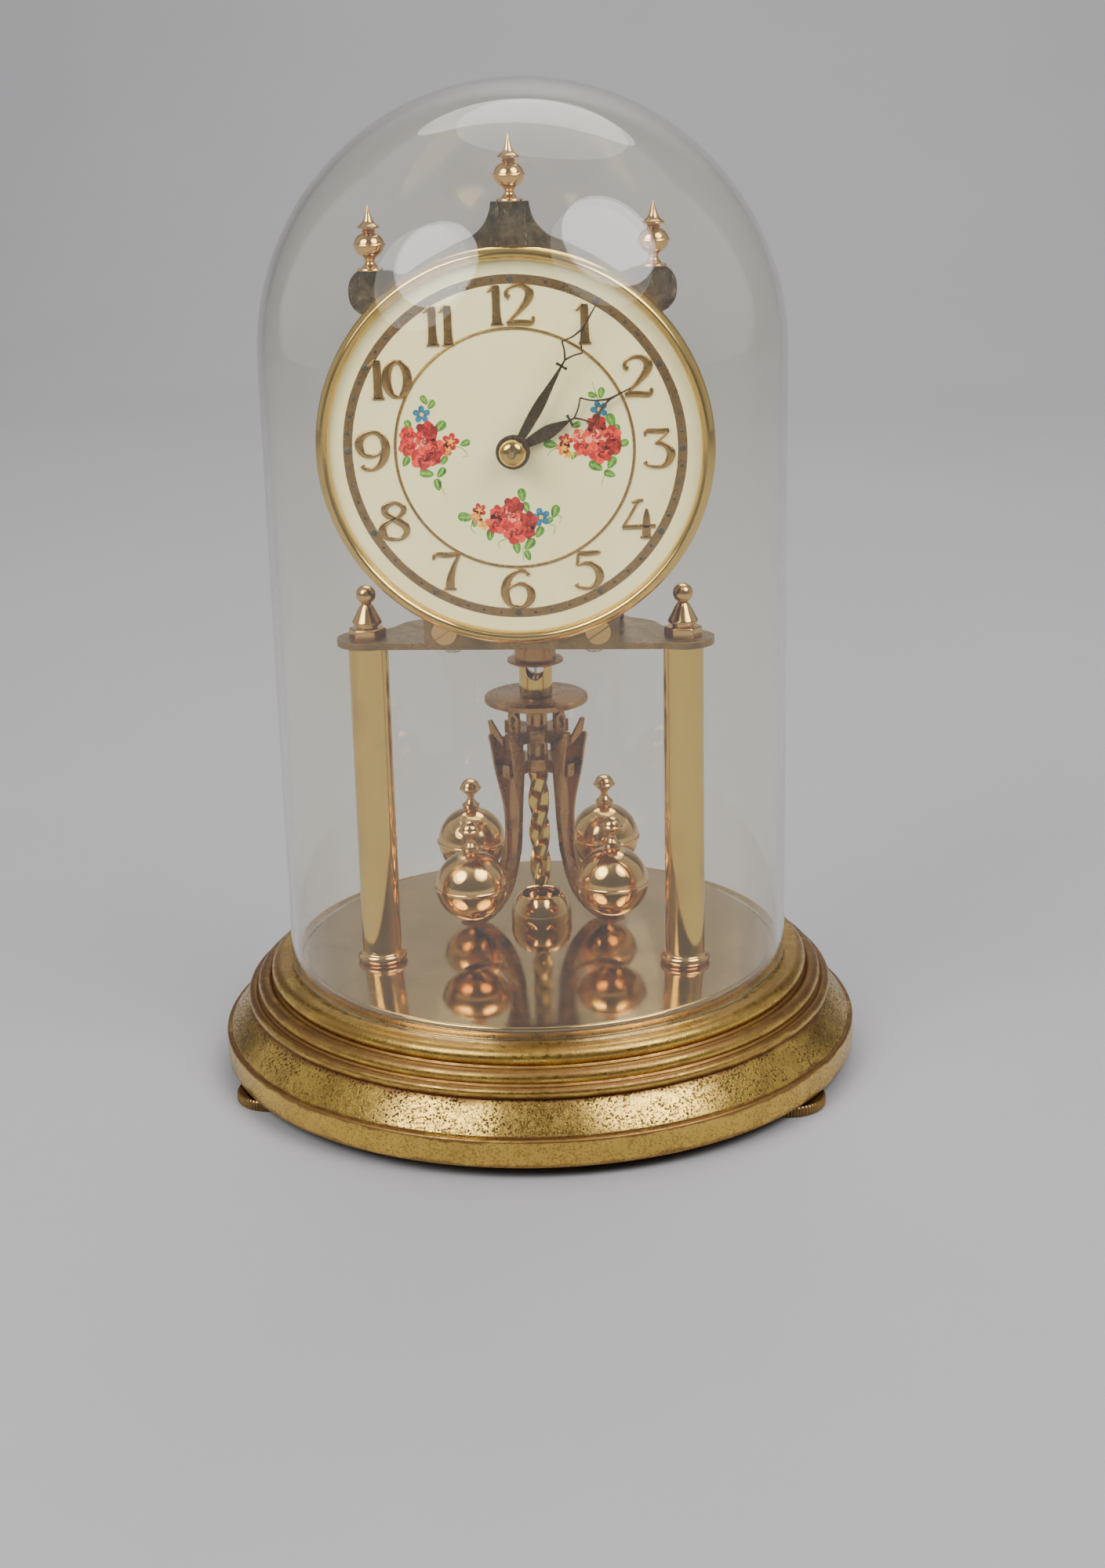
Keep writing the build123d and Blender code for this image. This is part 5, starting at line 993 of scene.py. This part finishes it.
# ------------------------------------------------------------------ floor, light, camera
backdrop = Net("studio_sweep")
grain = backdrop.noise(6.0, 4.0, 0.6)
backdrop.finish(backdrop.blend(grain, (0.335, 0.325, 0.335), (0.365, 0.355, 0.365)), 0.75)
bm = bmesh.new()
FLOOR_END, BEND_R = 1.3, 0.8                # in metres, like all of the stage
section = [(-1.6, 0.0), (FLOOR_END, 0.0)]
section += [(FLOOR_END + BEND_R * sin(t), BEND_R - BEND_R * cos(t))
            for t in (pi / 2 * i / 12 for i in range(1, 13))]
section += [(FLOOR_END + BEND_R, 3.2)]
rows = [[bm.verts.new((x, y, z)) for x in (-3.0, 3.0)] for y, z in section]
for low, high in zip(rows, rows[1:]):
    bm.faces.new((low[0], low[1], high[1], high[0]))
sweep_mesh = bpy.data.meshes.new("studio_sweep")
bm.to_mesh(sweep_mesh)
bm.free()
sweep_mesh.shade_smooth()
sweep_mesh.materials.append(backdrop.mat)
sweep = bpy.data.objects.new("studio_sweep", sweep_mesh)
bpy.context.scene.collection.objects.link(sweep)

world = bpy.data.worlds.new("studio_air")
bpy.context.scene.world = world
world.use_nodes = True
air = world.node_tree
view = air.nodes.new("ShaderNodeTexCoord")
parts = air.nodes.new("ShaderNodeSeparateXYZ")
air.links.new(view.outputs["Generated"], parts.inputs[0])
fade = air.nodes.new("ShaderNodeMapRange")
fade.interpolation_type = "SMOOTHSTEP"
fade.inputs["From Min"].default_value = -0.8
fade.inputs["From Max"].default_value = 0.5
fade.inputs["To Min"].default_value = 0.10
fade.inputs["To Max"].default_value = 0.62
air.links.new(parts.outputs["Y"], fade.inputs["Value"])
air.links.new(fade.outputs["Result"], air.nodes["Background"].inputs["Strength"])
air.nodes["Background"].inputs["Color"].default_value = (0.84, 0.83, 0.86, 1.0)


def softbox(name, azimuth, elevation, distance, size, power, aim=(0.0, 0.0, 0.13), shiny=True):
    """Disc lamp at a compass direction round the clock, aimed at its middle."""
    a, e = radians(azimuth), radians(elevation)
    direction = Vector((sin(a) * cos(e), -cos(a) * cos(e), sin(e)))
    lamp = bpy.data.lights.new(name, "AREA")
    lamp.shape = "DISK"
    lamp.size = size
    lamp.energy = power
    obj = bpy.data.objects.new(name, lamp)
    obj.location = Vector(aim) + direction * distance
    obj.rotation_euler = direction.to_track_quat("Z", "Y").to_euler()
    obj.visible_glossy = shiny
    bpy.context.scene.collection.objects.link(obj)


softbox("left_softbox", -39.0, 42.0, 1.25, 0.72, 7.5)
softbox("right_softbox", 57.0, 48.0, 1.25, 0.78, 9.0)
softbox("left_glow", -45.0, 36.0, 1.4, 1.0, 9.5, shiny=False)
softbox("right_glow", 50.0, 44.0, 1.4, 1.0, 7.5, shiny=False)
softbox("top_glow", 170.0, 66.0, 1.5, 1.1, 7.0, shiny=False)
softbox("backdrop_glow", 0.0, 62.0, 1.5, 1.6, 26.0, (0.0, 1.9, 0.35), False)

# camera fitted to the base's rim, the dial, the pillars and the dome's edges
YAW, PITCH, ROLL = radians(4.6), radians(17.378), radians(-1.369)
DISTANCE = 0.72544
AIM_X, AIM_Z = 0.0056, 0.08442
back = Vector((sin(YAW) * cos(PITCH), -cos(YAW) * cos(PITCH), sin(PITCH)))
right = Vector((cos(YAW), sin(YAW), 0.0))
up = back.cross(right)
across = right * cos(ROLL) + up * sin(ROLL)
top = up * cos(ROLL) - right * sin(ROLL)
lens = bpy.data.cameras.new("photo_camera")
lens.sensor_fit = "VERTICAL"
lens.sensor_height = 36.0
lens.lens = 54.78192
lens.clip_start = 0.01
camera = bpy.data.objects.new("photo_camera", lens)
bpy.context.scene.collection.objects.link(camera)
camera.matrix_world = Matrix((
    (across.x, top.x, back.x, AIM_X + back.x * DISTANCE),
    (across.y, top.y, back.y, back.y * DISTANCE),
    (across.z, top.z, back.z, AIM_Z + back.z * DISTANCE),
    (0.0, 0.0, 0.0, 1.0)))
bpy.context.scene.camera = camera
bpy.context.view_layer.update()
